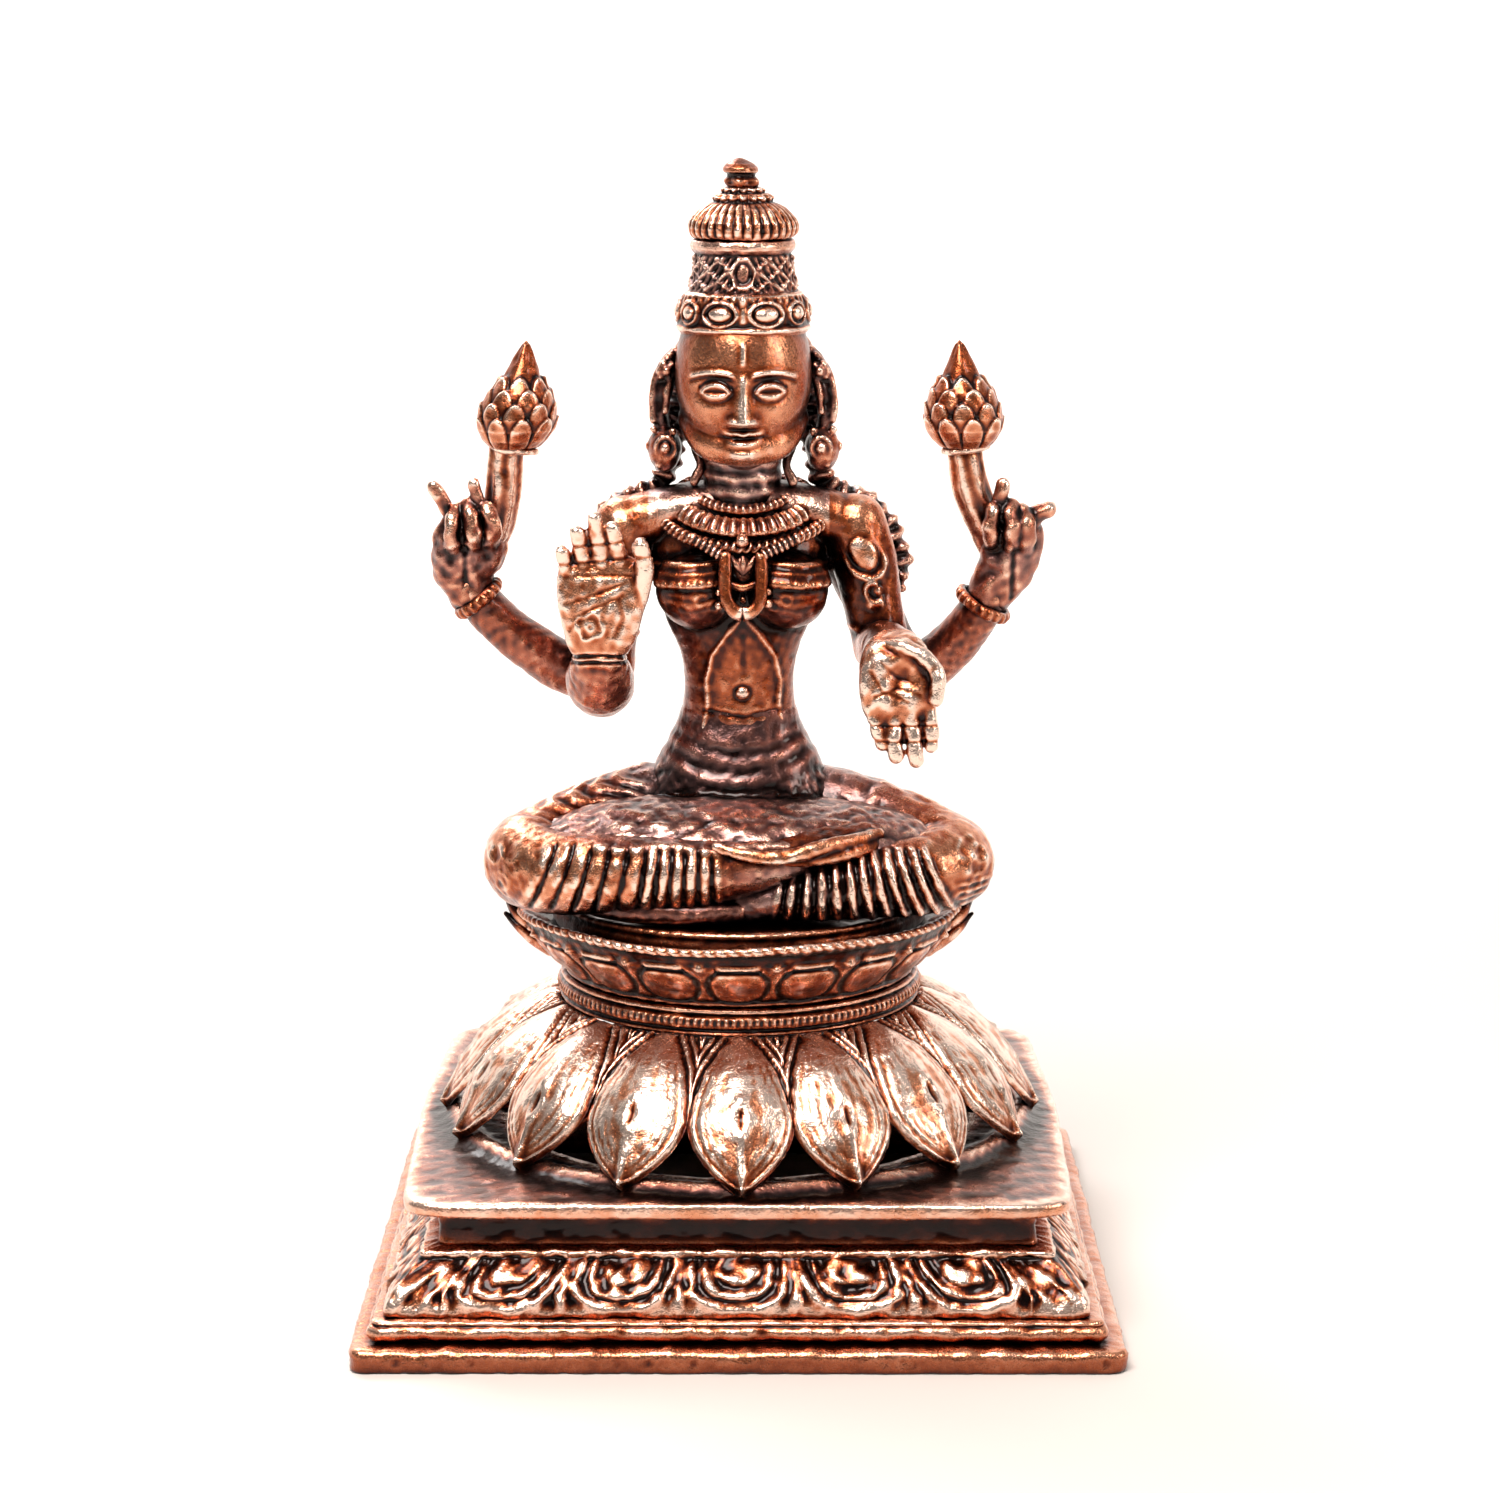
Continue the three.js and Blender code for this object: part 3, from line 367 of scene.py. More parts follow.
# points every step millimetres along straight lines between the given ones
def denseLine(points, step):
    points = np.asarray(points, float)
    out = []
    for a, b in zip(points[:-1], points[1:]):
        count = max(1, int(round(np.linalg.norm(b - a) / step)))
        out.append(a + (b - a) * np.linspace(0, 1, count, endpoint=False)[:, None])
    return np.vstack(out + [points[-1:]])


baseSizes = {
    "foot": (49.3, 0.0, 3.0), "torus": (47.0, 3.0, 5.9), "band": (45.2, 5.9, 13.5),
    "neck": (38.5, 13.5, 18.2), "slab": (42.9, 18.2, 20.2), "corner": 1.6, "wall": 5.0,
    "cartouches": 5, "cartouchePitch": 15.0,
}


# per cell: a U-shaped double outline (a superellipse round the cell's upper edge), a boss inside it, and a
# budded bar between neighbours
def cartoucheRelief(along, height, side):
    low, high = baseSizes["band"][1] + 0.5, baseSizes["band"][2] - 1.0
    pitch = baseSizes["cartouchePitch"]
    cell = np.clip(np.round(along / pitch), -2, 2)
    a = (along - cell * pitch) / (pitch * 0.44)
    b = np.clip((height - low) / (high - low), 0, 1.1)
    ring = (np.abs(a) ** 2.6 + (np.abs(1.0 - b) / 0.92) ** 2.6) ** (1 / 2.6)
    inside = (height > low) & (height < high)
    outline = 0.62 * bell(ring, 0.96, 0.10) + 0.45 * bell(ring, 0.70, 0.08)
    boss = 0.55 * smoothStep(0.56 - ring, 0.0, 0.18) - 0.22 * bell(ring, 0.84, 0.07)
    bar = (np.abs(a) > 1.0) * (0.5 * bell(np.abs(a), 1.15, 0.10) + 0.35 * bell(b, 0.30, 0.12) * bell(np.abs(a), 1.15, 0.14))
    leaf = (np.abs(along) > 2.5 * pitch) * 0.25 * bell(np.sin((np.abs(along) - 2.5 * pitch + height * 0.8) * 1.7), 0.9, 0.5)
    return inside * (np.abs(along) < 2.5 * pitch) * (outline + boss + bar) + inside * leaf


def makeBase():
    step = 0.42
    wall = baseSizes["wall"]

    def frameProfile(outer, inset):
        outer = denseLine(outer, step)
        inner = denseLine([[outer[-1][0], outer[-1][1]], [outer[-1][0] - inset, outer[-1][1]],
                           [outer[0][0] - inset, outer[0][1]], outer[0]], 1.6)
        return np.vstack([outer, inner[1:-1]])

    half, low, high = baseSizes["foot"]
    foot = frameProfile([[-0.15, 0], [0, 0.35], [0, 2.2], [-0.3, 2.75], [-1.1, high]], wall)
    finishPiece("baseFoot", squareMoulding(foot, half, 2.0, step), nodes=["plinth_foot"], seed=3, uneven=1.8, polishAndPaintedLight=-0.16, wear=0.8, **polished)

    half, low, high = baseSizes["torus"]
    nose = [[-0.9 + 0.95 * math.cos(a), 4.35 + 1.0 * math.sin(a)] for a in np.linspace(-1.45, 1.45, 9)]
    torus = frameProfile([[-0.9, low], [-0.9, 3.3]] + nose + [[-0.55, 5.42], [-0.5, 5.65], [-0.75, high]], wall)
    finishPiece("baseTorus", squareMoulding(torus, half, 1.8, step), nodes=["plinth_torus"], seed=4, uneven=1.8, polishAndPaintedLight=-0.10, wear=0.8, **polished)

    half, low, high = baseSizes["band"]
    slope = [[-0.1 - 4.9 * t + 1.0 * math.sin(math.pi * t), low + 0.2 + 6.3 * t] for t in np.linspace(0, 1, 12)]
    band = frameProfile([[-0.4, low]] + slope + [[-4.6, 12.6], [-4.5, 13.1], [-5.0, high]], wall - 1)
    shape = squareMoulding(band, half, 1.6, 0.36, relief=cartoucheRelief)
    finishPiece("basePetalBand", shape, material=baseCopper, slot="patinated_copper", nodes=["plinth_petal_band"], seed=5, uneven=2.6, wear=0.9)

    half, low, high = baseSizes["neck"]
    neck = frameProfile([[0.1, low], [-0.1, 14.2], [-0.25, 16.0], [0.1, high]], 3.0)
    finishPiece("baseNeck", squareMoulding(neck, half, 1.2, step), nodes=["plinth_neck"], seed=6, uneven=1.4, wear=0.3, polishAndPaintedLight=0.05, **shadedBlackened)
    makeSlab()
    print("square base made")


# top plate: points run from the round well (at share 0) to the bowed square edge (share 1)
def makeSlab():
    half, low, high = baseSizes["slab"]
    well = 31.5
    angle = np.linspace(-math.pi, math.pi, 720, endpoint=False)
    # rounded square as a superellipse, a little narrower at the back, with bowed sides
    power = 16.0
    c, s = np.cos(angle), np.sin(angle)
    edge = half / (np.abs(c) ** power + np.abs(s) ** power) ** (1 / power)
    edge = edge * (1 - 0.014 * smoothStep(s, 0.2, 1.0)) + 0.9 * bell(s, 0, 0.55) * (np.abs(c) > 0.7)
    lip = [[1.0, 0.35], [1.004, 0.7], [1.0, 1.35], [0.992, 1.8], [0.975, 2.0]]
    top = [[share, 2.0] for share in np.linspace(0.93, 0.0, 26)]
    profile = np.array([[0.0, 0.0], [0.3, 0.0], [0.6, 0.0], [0.9, 0.0], [0.985, 0.1]] + lip + top + [[0.0, 1.0]])
    share, height = profile[:, 0][:, None], profile[:, 1][:, None]
    radius = well + (edge - well)[None] * share
    tipRing = 1.6 * bell(radius, 38.3, 1.6) * (height > 1.9)
    points = np.stack([radius * c, radius * s, low + height + tipRing], -1)
    # the top face is painted lighter than the sides (painted light falling from above) and carries grey patina as well
    finishPiece("baseSlab", gridSurface(points, ends="loop"), nodes=["plinth_slab"], seed=7, uneven=1.0, wear=0.7,
                stain=lambda p: 0.50 * smoothStep(p[:, 2], 19.8, 20.1), polishAndPaintedLight=lambda p: 0.10 * smoothStep(p[:, 2], 19.8, 20.1) - 0.12, **polished)


makeBase()


# ellipses carried along a smooth line through stations of x, y, z, half width, half depth. The width lies
# along `wide`, both ends are rounded, and relief(s, angle, z) adds to the radius
def limb(stations, wide=(1, 0, 0), columns=44, step=0.35, square=2.0, relief=None):
    s = np.asarray(stations, float)
    reach = np.linalg.norm(np.diff(s[:, :3], axis=0), axis=1).sum()
    line, length = alongCurve(s, max(8, int(reach / step)))
    centre, half = line[:, :3], np.maximum(line[:, 3:5], 0.15)
    tangent = np.gradient(centre, axis=0)
    tangent /= np.linalg.norm(tangent, axis=1)[:, None]
    across = np.asarray(wide, float) - tangent * (tangent @ np.asarray(wide, float))[:, None]
    across /= np.linalg.norm(across, axis=1)[:, None]
    deep = np.cross(tangent, across)
    # rounded ends: extra rows that shrink on a quarter circle
    turn = np.linspace(0.12, math.pi / 2, 7)[:-1]
    rows = []
    for k, sign, order in ((0, -1, 1), (-1, 1, -1)):
        cap = min(half[k])
        ends = turn[::order]
        rows.append((centre[k] + sign * tangent[k] * (cap * np.cos(ends))[:, None], half[k] * np.sin(ends)[:, None], k))
    centres = np.vstack([rows[0][0], centre, rows[1][0]])
    halves = np.vstack([rows[0][1], half, rows[1][1]])
    index = np.concatenate([np.zeros(6, int), np.arange(len(centre)), np.full(6, len(centre) - 1)])
    angle = np.linspace(0, 2 * math.pi, columns, endpoint=False)[None]
    c, sn = np.cos(angle), np.sin(angle)
    cornering = (np.abs(c) ** square + np.abs(sn) ** square) ** (-1 / square)
    grow = 0 if relief is None else relief(length[index][:, None], angle, centres[:, 2][:, None])
    x = (halves[:, :1] + grow) * c * cornering
    y = (halves[:, 1:] + grow) * sn * cornering
    points = centres[:, None] + across[index][:, None] * x[..., None] + deep[index][:, None] * y[..., None]
    return gridSurface(points)


# an ellipsoid on a grid of latitude and longitude
def ballShape(at, radii, rows=20, columns=30):
    a = np.linspace(0.08, math.pi - 0.08, rows)[:, None]
    b = np.linspace(0, 2 * math.pi, columns, endpoint=False)[None]
    unit = np.stack([np.sin(a) * np.cos(b), np.sin(a) * np.sin(b), np.cos(a) + 0 * b], -1)
    return gridSurface(np.asarray(at) + unit * np.asarray(radii))


# small balls at each of the points: one unit ball moved to every place
def beadRow(points, size, flat=1.0):
    rows, columns = 6, 9
    a = np.linspace(0.25, math.pi - 0.25, rows)[:, None]
    b = np.linspace(0, 2 * math.pi, columns, endpoint=False)[None]
    unit = np.stack([np.sin(a) * np.cos(b), np.sin(a) * np.sin(b), np.cos(a) + 0 * b], -1)
    v, q, t = facingOut(gridSurface(unit * np.array([1, flat, 1])))
    count, many = len(v), len(points)
    sizes = np.broadcast_to(np.asarray(size, float), (many,))
    vertices = (np.asarray(points)[:, None] + v[None] * sizes[:, None, None]).reshape(-1, 3)
    shift = (np.arange(many) * count)[:, None, None]
    return vertices, (q[None] + shift).reshape(-1, 4), (t[None] + shift).reshape(-1, 3)


# how near each (x, z) lies to a drawn line: 1 on it, falling off over its width
def lineRelief(x, z, path, width):
    p = np.asarray(path, float)
    best = np.full(len(x), 1e9)
    for a, b in zip(p[:-1], p[1:]):
        d = b - a
        t = np.clip(((x - a[0]) * d[0] + (z - a[1]) * d[1]) / (d @ d), 0, 1)
        best = np.minimum(best, np.hypot(x - a[0] - t * d[0], z - a[1] - t * d[1]))
    return np.exp(-(best / width) ** 2)


# engraved rings: 1 on a circle round each centre
def ringRelief(u, v, centres, radius, width):
    out = np.zeros(len(u))
    for a, b in centres:
        out = np.maximum(out, bell(np.hypot(u - a, v - b), radius, width))
    return out


domeSizes = {
    "tip": 40.4, "top": 24.7, "low": 20.4, "high": 37.2, "bulge": 1.75, "petals": 16, "thick": 1.5,
    "ring": (24.8, 37.2, 40.8), "seatRim": 30.4, "seatLow": 40.8, "seatHigh": 50.4,
}


# a point of the dome's section: t is 0 at the slab and 1 at the ring
def domePoint(t, inset):
    swell = domeSizes["bulge"] * np.sin(math.pi * t) ** 0.85
    radius = domeSizes["tip"] + (domeSizes["top"] - domeSizes["tip"]) * t + swell - inset * 0.72
    height = domeSizes["low"] + (domeSizes["high"] - domeSizes["low"]) * t + swell - inset * 0.70
    return radius, height


# a leaf from the ring to its tip. Each row is a flattened loop across the leaf. An onion-shaped outline is
# drawn on it: inside, the leaf swells and has a rolled edge, a midrib, veins and a drop-shaped notch;
# outside, ridges run beside the outline as on the leaves behind
def lotusPetal(turn, seed):
    rng = np.random.default_rng(seed)
    rows, columns = 100, 72
    v = np.linspace(0, 1, rows)[:, None]  # 0 at the ring, 1 at the tip
    loop = np.linspace(0, 2 * math.pi, columns, endpoint=False)[None]
    u, face = np.cos(loop), np.sin(loop)
    pitch = 2 * math.pi / domeSizes["petals"]
    radius, height = domePoint(1 - v, 0)
    # foot of the leaf: full width down to the openings, then an ogee to the point
    past = np.clip((v - 0.57) / 0.43, 0, 1)
    share = 1 - past ** 1.9
    width = np.maximum((radius * pitch / 2 + 0.05) * share, 0.45)
    x = u * width  # mm across the leaf
    swell = np.interp(v[:, 0], [0, 0.1, 0.25, 0.42, 0.6, 1.0], [0.26, 0.52, 0.78, 0.92, 0.97, 0.98])[:, None]
    outline = swell * np.where(v < 0.56, radius * pitch / 2, width)
    gap = np.abs(x) - outline  # below 0 inside the drawn leaf
    inside = smoothStep(-gap, -0.2, 0.5)
    bodySwell = 1.25 * np.clip(1 - (x / np.maximum(outline, 0.3)) ** 2, 0, 1) * np.sin(math.pi * np.clip(0.08 + 0.9 * v, 0, 1)) ** 0.8
    rolled = 0.30 * bell(gap, -0.45, 0.40) * smoothStep(v, 0.05, 0.2)
    groove = -0.24 * bell(gap, 0.18, 0.22)
    behind = (1 - inside) * (0.34 * np.cos(2 * math.pi * (gap - 0.75) / 1.25) + 0.20)
    second = (0.24 * bell(gap, -1.6, 0.26) + 0.16 * bell(gap, -2.6, 0.26)) * smoothStep(v, 0.12, 0.3) * (1 - smoothStep(v, 0.80, 0.92))
    midrib = 0.30 * bell(x, 0, 0.30) * smoothStep(v, 0.25, 0.5) + 0.55 * bell(x, 0, 0.7) * bell(v, 0.97, 0.10)
    veins = 0.04 * np.cos(x * 2 * math.pi / 0.8 + 2 * v + rng.uniform(0, 6)) * (1 - smoothStep(v, 0.8, 0.95)) * inside
    place = 0.60 + 0.05 * rng.uniform(-1, 1)
    dropShape = np.hypot(x / 0.55, (v - place) * 18 / 1.5)
    drop = -0.75 * bell(dropShape, 0, 0.75) + 0.35 * bell(dropShape, 1.35, 0.35)
    lift = inside * (bodySwell + rolled + second + midrib + veins + drop) + groove + behind
    lift = lift * np.clip(face * 5, 0, 1)
    thick = domeSizes["thick"] * (0.45 + 0.55 * share)
    out = lift - (1 - face) * 0.5 * thick
    angle = turn + x / radius
    r = radius + out * 0.72
    z = np.maximum(height + out * 0.70, 20.25)
    points = np.stack([r * np.sin(angle), -r * np.cos(angle), z], -1)
    return gridSurface(points)


def makeDome():
    pitch = 2 * math.pi / domeSizes["petals"]
    for k in range(domeSizes["petals"]):
        wobble = 0.012 * math.sin(5.1 * k + 1.3)
        shape = lotusPetal(k * pitch + wobble, 20 + k)
        # the petals are painted lighter: rubbed polish together with painted light where they face up to the lamp
        finishPiece(f"lotusPetal{k + 1:02d}", shape, nodes=[f"lotus_petal_{k + 1:02d}"], seed=30 + k, uneven=0.8, polishAndPaintedLight=0.30, wear=0.8, **polished)

    # shell behind the petals: its lower edge rises to a point between two petals
    columns = 320
    angle = np.linspace(0, 2 * math.pi, columns, endpoint=False)[None]
    inward = np.concatenate([np.linspace(0, 1, 20), np.linspace(1, 0, 20)])[:, None]
    inset = np.concatenate([np.full(20, 1.9), np.full(20, 3.2)])[:, None]
    between = 0.5 + 0.5 * np.cos(domeSizes["petals"] * angle + math.pi)
    lowest = 0.28 + 0.13 * between ** 3
    t = lowest + (0.995 - lowest) * inward
    radius, height = domePoint(t, inset)
    points = np.stack([radius * np.sin(angle), -radius * np.cos(angle), height], -1)
    finishPiece("lotusDome", gridSurface(points, ends="loop"), nodes=["lotus_dome"], seed=60, **shadedBlackened)

    # ring: two thin lines with a finely beaded roll between them
    outer, low, high = domeSizes["ring"]
    section = [[-1.6, low], [-0.5, low], [-0.3, 37.5], [-0.75, 37.9], [-0.2, 38.3], [0, 38.9], [-0.15, 39.5],
               [-0.6, 39.9], [-0.9, 40.0], [-0.45, 40.25], [-0.5, 40.6], [-0.9, high], [-4, high], [-4, low], [-1.6, low]]
    section = denseLine(section, 0.2)[:-1]
    angle = np.linspace(0, 2 * math.pi, 640, endpoint=False)[None]
    offset, height = section[:, 0][:, None], section[:, 1][:, None]
    beads = 0.20 * (np.cos(angle * 150) - 0.4) * bell(height, 39.0, 0.45) * (offset > -1.2)
    radius = outer + offset + beads
    points = np.stack([radius * np.cos(angle), radius * np.sin(angle), height + 0 * angle], -1)
    finishPiece("neckRing", gridSurface(points, ends="loop"), nodes=["neck_ring"], seed=61, uneven=0.7, **polished)
    print("lotus dome made")


# bowl turned about Z, with relief by angle: a boss and outline for each petal, the crease and short bright
# lip above it, and a bud between neighbours
def makeSeat():
    count = 18
    low, high, rim = domeSizes["seatLow"], domeSizes["seatHigh"], domeSizes["seatRim"]
    outer = denseLine([[22.8, low], [23.4, low], [24.1, 41.3], [24.6, 42.2], [25.7, 43.6], [27.3, 45.3], [28.6, 47.0], [29.3, 48.4], [29.6, 49.2]], 0.24)
    roll = np.array([[rim - 0.55 + 0.55 * math.cos(a), high - 0.55 + 0.55 * math.sin(a)] for a in np.linspace(-1.1, 2.8, 12)])
    inner = denseLine([[29.2, 49.2], [27.6, 48.2], [25.6, 47.4], [14, 47.3], [14, 44.0], [14, low], [22.8, low]], 1.2)[:-1]
    section = np.vstack([outer, roll, inner])
    kind = np.concatenate([np.zeros(len(outer)), np.ones(len(roll)), np.full(len(inner), 2)])[:, None]
    angle = np.linspace(0, 2 * math.pi, 720, endpoint=False)[None]
    radius, height = section[:, 0][:, None] + 0 * angle, section[:, 1][:, None] + 0 * angle
    cell = (angle * count / (2 * math.pi)) % 1.0 - 0.5
    a = cell * 2  # -1 to 1 across one petal
    b = (height - 42.0) / 5.0  # 0 at the petal's foot, 1 at its lip
    leaf = (np.abs(a / 0.84) ** 2.4 + np.abs((b - 0.46) / 0.55) ** 2.4) ** (1 / 2.4)
    boss = 0.62 * np.sqrt(np.clip(1 - (leaf / 0.92) ** 2, 0, 1)) - 0.28 * bell(leaf, 1.04, 0.07)
    lip = 0.62 * bell(b, 1.10, 0.075) * (1 - smoothStep(np.abs(a), 0.42, 0.62)) - 0.35 * bell(b, 0.97, 0.06) * (np.abs(a) < 0.6)
    bud = 0.85 * bell(np.abs(a), 1.0, 0.13) * bell(b, 1.12, 0.12) + 0.30 * bell(np.abs(a), 1.0, 0.22) * smoothStep(b, 0.45, 1.0) * (b < 1.15)
    foot = -0.35 * bell(height, 41.7, 0.35)
    relief = (kind == 0) * (boss + lip + bud + foot) * smoothStep(height, low, low + 0.5)
    rope = (kind == 1) * 0.13 * np.cos(angle * 120 + 3 * (height - high))
    r = radius + relief * 0.85 + rope
    z = height + (kind == 1) * 0.35 * np.sin(angle * 3 + 0.6) * np.cos(angle * 2) - (kind == 0) * relief * 0.25
    turned = angle + math.pi / count
    points = np.stack([r * np.sin(turned), -r * np.cos(turned), z], -1)
    # a pair of pointed leaf tips stands up at either side of the bowl
    tips = []
    for side in (-1, 1):
        for stations in (((25.5, 44.0, 2.4, 1.3), (28.8, 46.2, 2.2, 1.1), (31.6, 48.6, 0.4, 0.3)),
                         ((26.5, 46.4, 2.6, 1.4), (29.8, 48.8, 2.2, 1.2), (31.8, 51.6, 0.4, 0.3))):
            tips.append(limb([(side * x, -3.0, z, wide, deep) for x, z, wide, deep in stations], wide=(0, 1, 0), step=0.25))
    shape = joinShapes([facingOut(p) for p in [gridSurface(points, ends="loop")] + tips])
    finishPiece("lotusSeat", shape, nodes=["lotus_seat"], seed=62, uneven=0.9,
                polishAndPaintedLight=lambda p: -0.35 * smoothStep(np.abs(p[:, 0]), 29.6, 30.8) * (np.abs(p[:, 1]) < 10), **polished)

    # cushion: a low disc with a beaded upper edge, and the tenon under it
    section = [[0.01, 43.6], [6.0, 43.6], [6.0, 47.2], [24.4, 47.2], [25.3, 48.0], [25.5, 49.3], [25.2, 50.3],
               [25.45, 50.8], [25.0, 51.15], [23.0, 51.2], [0.01, 51.2]]
    section = denseLine(section, 0.5)
    angle = np.linspace(0, 2 * math.pi, 330, endpoint=False)[None]
    radius, height = section[:, 0][:, None] + 0 * angle, section[:, 1][:, None] + 0 * angle
    radius = radius + 0.14 * np.cos(angle * 90) * bell(height, 50.8, 0.35) * (radius > 24.5)
    points = np.stack([radius * np.sin(angle), -radius * np.cos(angle), height], -1)
    finishPiece("seatCushion", gridSurface(points), nodes=["seat_cushion"], seed=63, uneven=0.8, **patinated)
    print("lotus seat made")


makeDome()
makeSeat()

legSizes = {
    "rightThigh": [(-4, 2.5, 63.0, 5.2, 5.0), (-12, 0.6, 62.8, 5.6, 5.8), (-21, -3.5, 60.5, 5.2, 5.8), (-28.2, -8.5, 58.0, 5.9, 5.7)],
    "rightShin": [(-28.4, -10.5, 57.6, 6.2, 5.6), (-24.5, -15.6, 57.2, 5.6, 5.2), (-15, -19.2, 57.9, 5.1, 4.7),
                  (-5, -20.2, 58.3, 4.5, 4.3), (3, -20.2, 59.2, 3.4, 3.3), (8, -19.4, 60.4, 2.4, 2.4)],
    "leftThigh": [(4, 2.5, 63.0, 5.2, 5.0), (12, 0.6, 62.4, 5.6, 5.8), (21, -3.5, 60.4, 5.2, 5.6), (28.2, -8.5, 57.8, 5.8, 5.7)],
    "leftShin": [(28.4, -10.5, 57.4, 6.0, 5.6), (24.5, -15.4, 57.0, 5.4, 5.0), (16, -18.4, 56.2, 4.6, 4.4),
                 (8, -18.8, 55.0, 3.6, 3.7), (1, -18.6, 53.8, 2.6, 3.0)],
    "pleatWide": 2.62, "pleatNarrow": 1.85, "pleatDepth": 0.62,
}


def rightLegRelief(v):
    x, y, z = v.T
    front = smoothStep(-(y + 12), 0, 3)
    lean = 0.44 * (-5 - x) / 22
    g = x - lean * (z - 57)
    wide, narrow = legSizes["pleatWide"], legSizes["pleatNarrow"]
    turn = -12.6  # wide pleats outside this x, narrow ones inside it
    phase = np.where(g < turn, (g - turn) / wide, (g - turn) / narrow)
    spacing = np.where(g < turn, wide, narrow)
    gap = np.abs(phase - np.round(phase)) * spacing
    shown = smoothStep(g, -28.0, -27.0) * (1 - smoothStep(g, -2.6, -1.6)) * smoothStep(z, 52.2, 53.6) * (1 - smoothStep(z, 61.3, 62.4))
    pleats = legSizes["pleatDepth"] * (-0.90 * bell(gap, 0, 0.27) + 0.25 * bell(gap, spacing / 2, spacing * 0.36))
    pleats *= 1 + 0.25 * unevenness(v, 4, 71)
    # thigh: fine folds that run down and outwards over the top
    q = z + 0.30 * x - 0.28 * y + 0.5 * unevenness(v, 8, 72)
    folds = 0.15 * np.cos(2 * math.pi * q / 1.45) * smoothStep(y, -15, -11) * smoothStep(z, 60.0, 61.5) * smoothStep(-x, 10, 13) * (1 - smoothStep(-x, 26, 29))
    # knee: engraved flower and curls
    curls = 0.14 * ringRelief(y, z, [(-14.5, 59.4), (-11.5, 56.6), (-15.5, 55.2)], 1.15, 0.36) * smoothStep(-x, 28.5, 30)
    curls += 0.13 * ringRelief(x, z, [(-30.2, 60.3), (-31.4, 56.0)], 1.2, 0.34) * front * smoothStep(-x, 27, 28)
    lip = 0.45 * bell(z, 61.9 + 0.25 * np.sin(x * 0.5), 0.5) * front * smoothStep(x, -22, -18)
    return pleats * front * shown + folds + curls + lip


def leftLegRelief(v):
    x, y, z = v.T
    front = smoothStep(-(y + 11), 0, 3)
    fan = x + (z - 56) * (0.10 + 0.030 * (x - 14))
    phase = (fan - 6) / 1.95
    gap = np.abs(phase - np.round(phase)) * 1.95
    shown = smoothStep(fan, 4.6, 6.0) * (1 - smoothStep(fan, 26.4, 27.6)) * smoothStep(z, 51.6, 52.8) * (1 - smoothStep(z, 60.6, 61.6))
    ridges = 0.55 * bell(gap, 0.975, 0.45) - 0.50 * bell(gap, 0, 0.30)
    ridges *= 1 + 0.3 * unevenness(v, 3, 81)
    curls = 0.14 * ringRelief(y, z, [(-14.5, 59.6), (-11.2, 57.0), (-15.6, 55.6)], 1.15, 0.36) * smoothStep(x, 28.5, 30)
    curls += 0.13 * ringRelief(x, z, [(30.0, 60.6), (31.6, 58.2)], 1.2, 0.34) * front * smoothStep(x, 27, 28)
    bands = 0.16 * np.cos(2 * math.pi * z / 1.1) * smoothStep(x, 28.6, 29.6) * (1 - smoothStep(z, 56, 57)) * front
    q = z - 0.20 * x - 0.30 * y + 0.5 * unevenness(v, 8, 82)
    folds = 0.13 * np.cos(2 * math.pi * q / 2.1) * smoothStep(y, -14, -10) * smoothStep(z, 60.0, 61.5) * smoothStep(x, 14, 18) * (1 - smoothStep(x, 27, 29))
    return ridges * front * shown + curls + bands + folds


# dark, purplish patina where cloth meets the lap, thinning towards the knees
def lapDirt(v):
    x, y, z = v.T
    return (1 - smoothStep(np.abs(x - 2), 13, 24)) * smoothStep(z, 60.8, 63.5) + 0.75 * smoothStep(-z, -55.5, -52.5) \
        + 0.9 * (1 - smoothStep(z, 58.5, 60.5)) * bell(x, 6, 7) * smoothStep(-y, -22, -14) * (z < 60)


# the knees are rubbed bright and carry a painted highlight where the light falls on their tops, fading over the shins
def kneePolishAndHighlight(v):
    return 0.05 + 0.15 * smoothStep(np.abs(v[:, 0]), 16, 28) * smoothStep(v[:, 2], 54, 60)


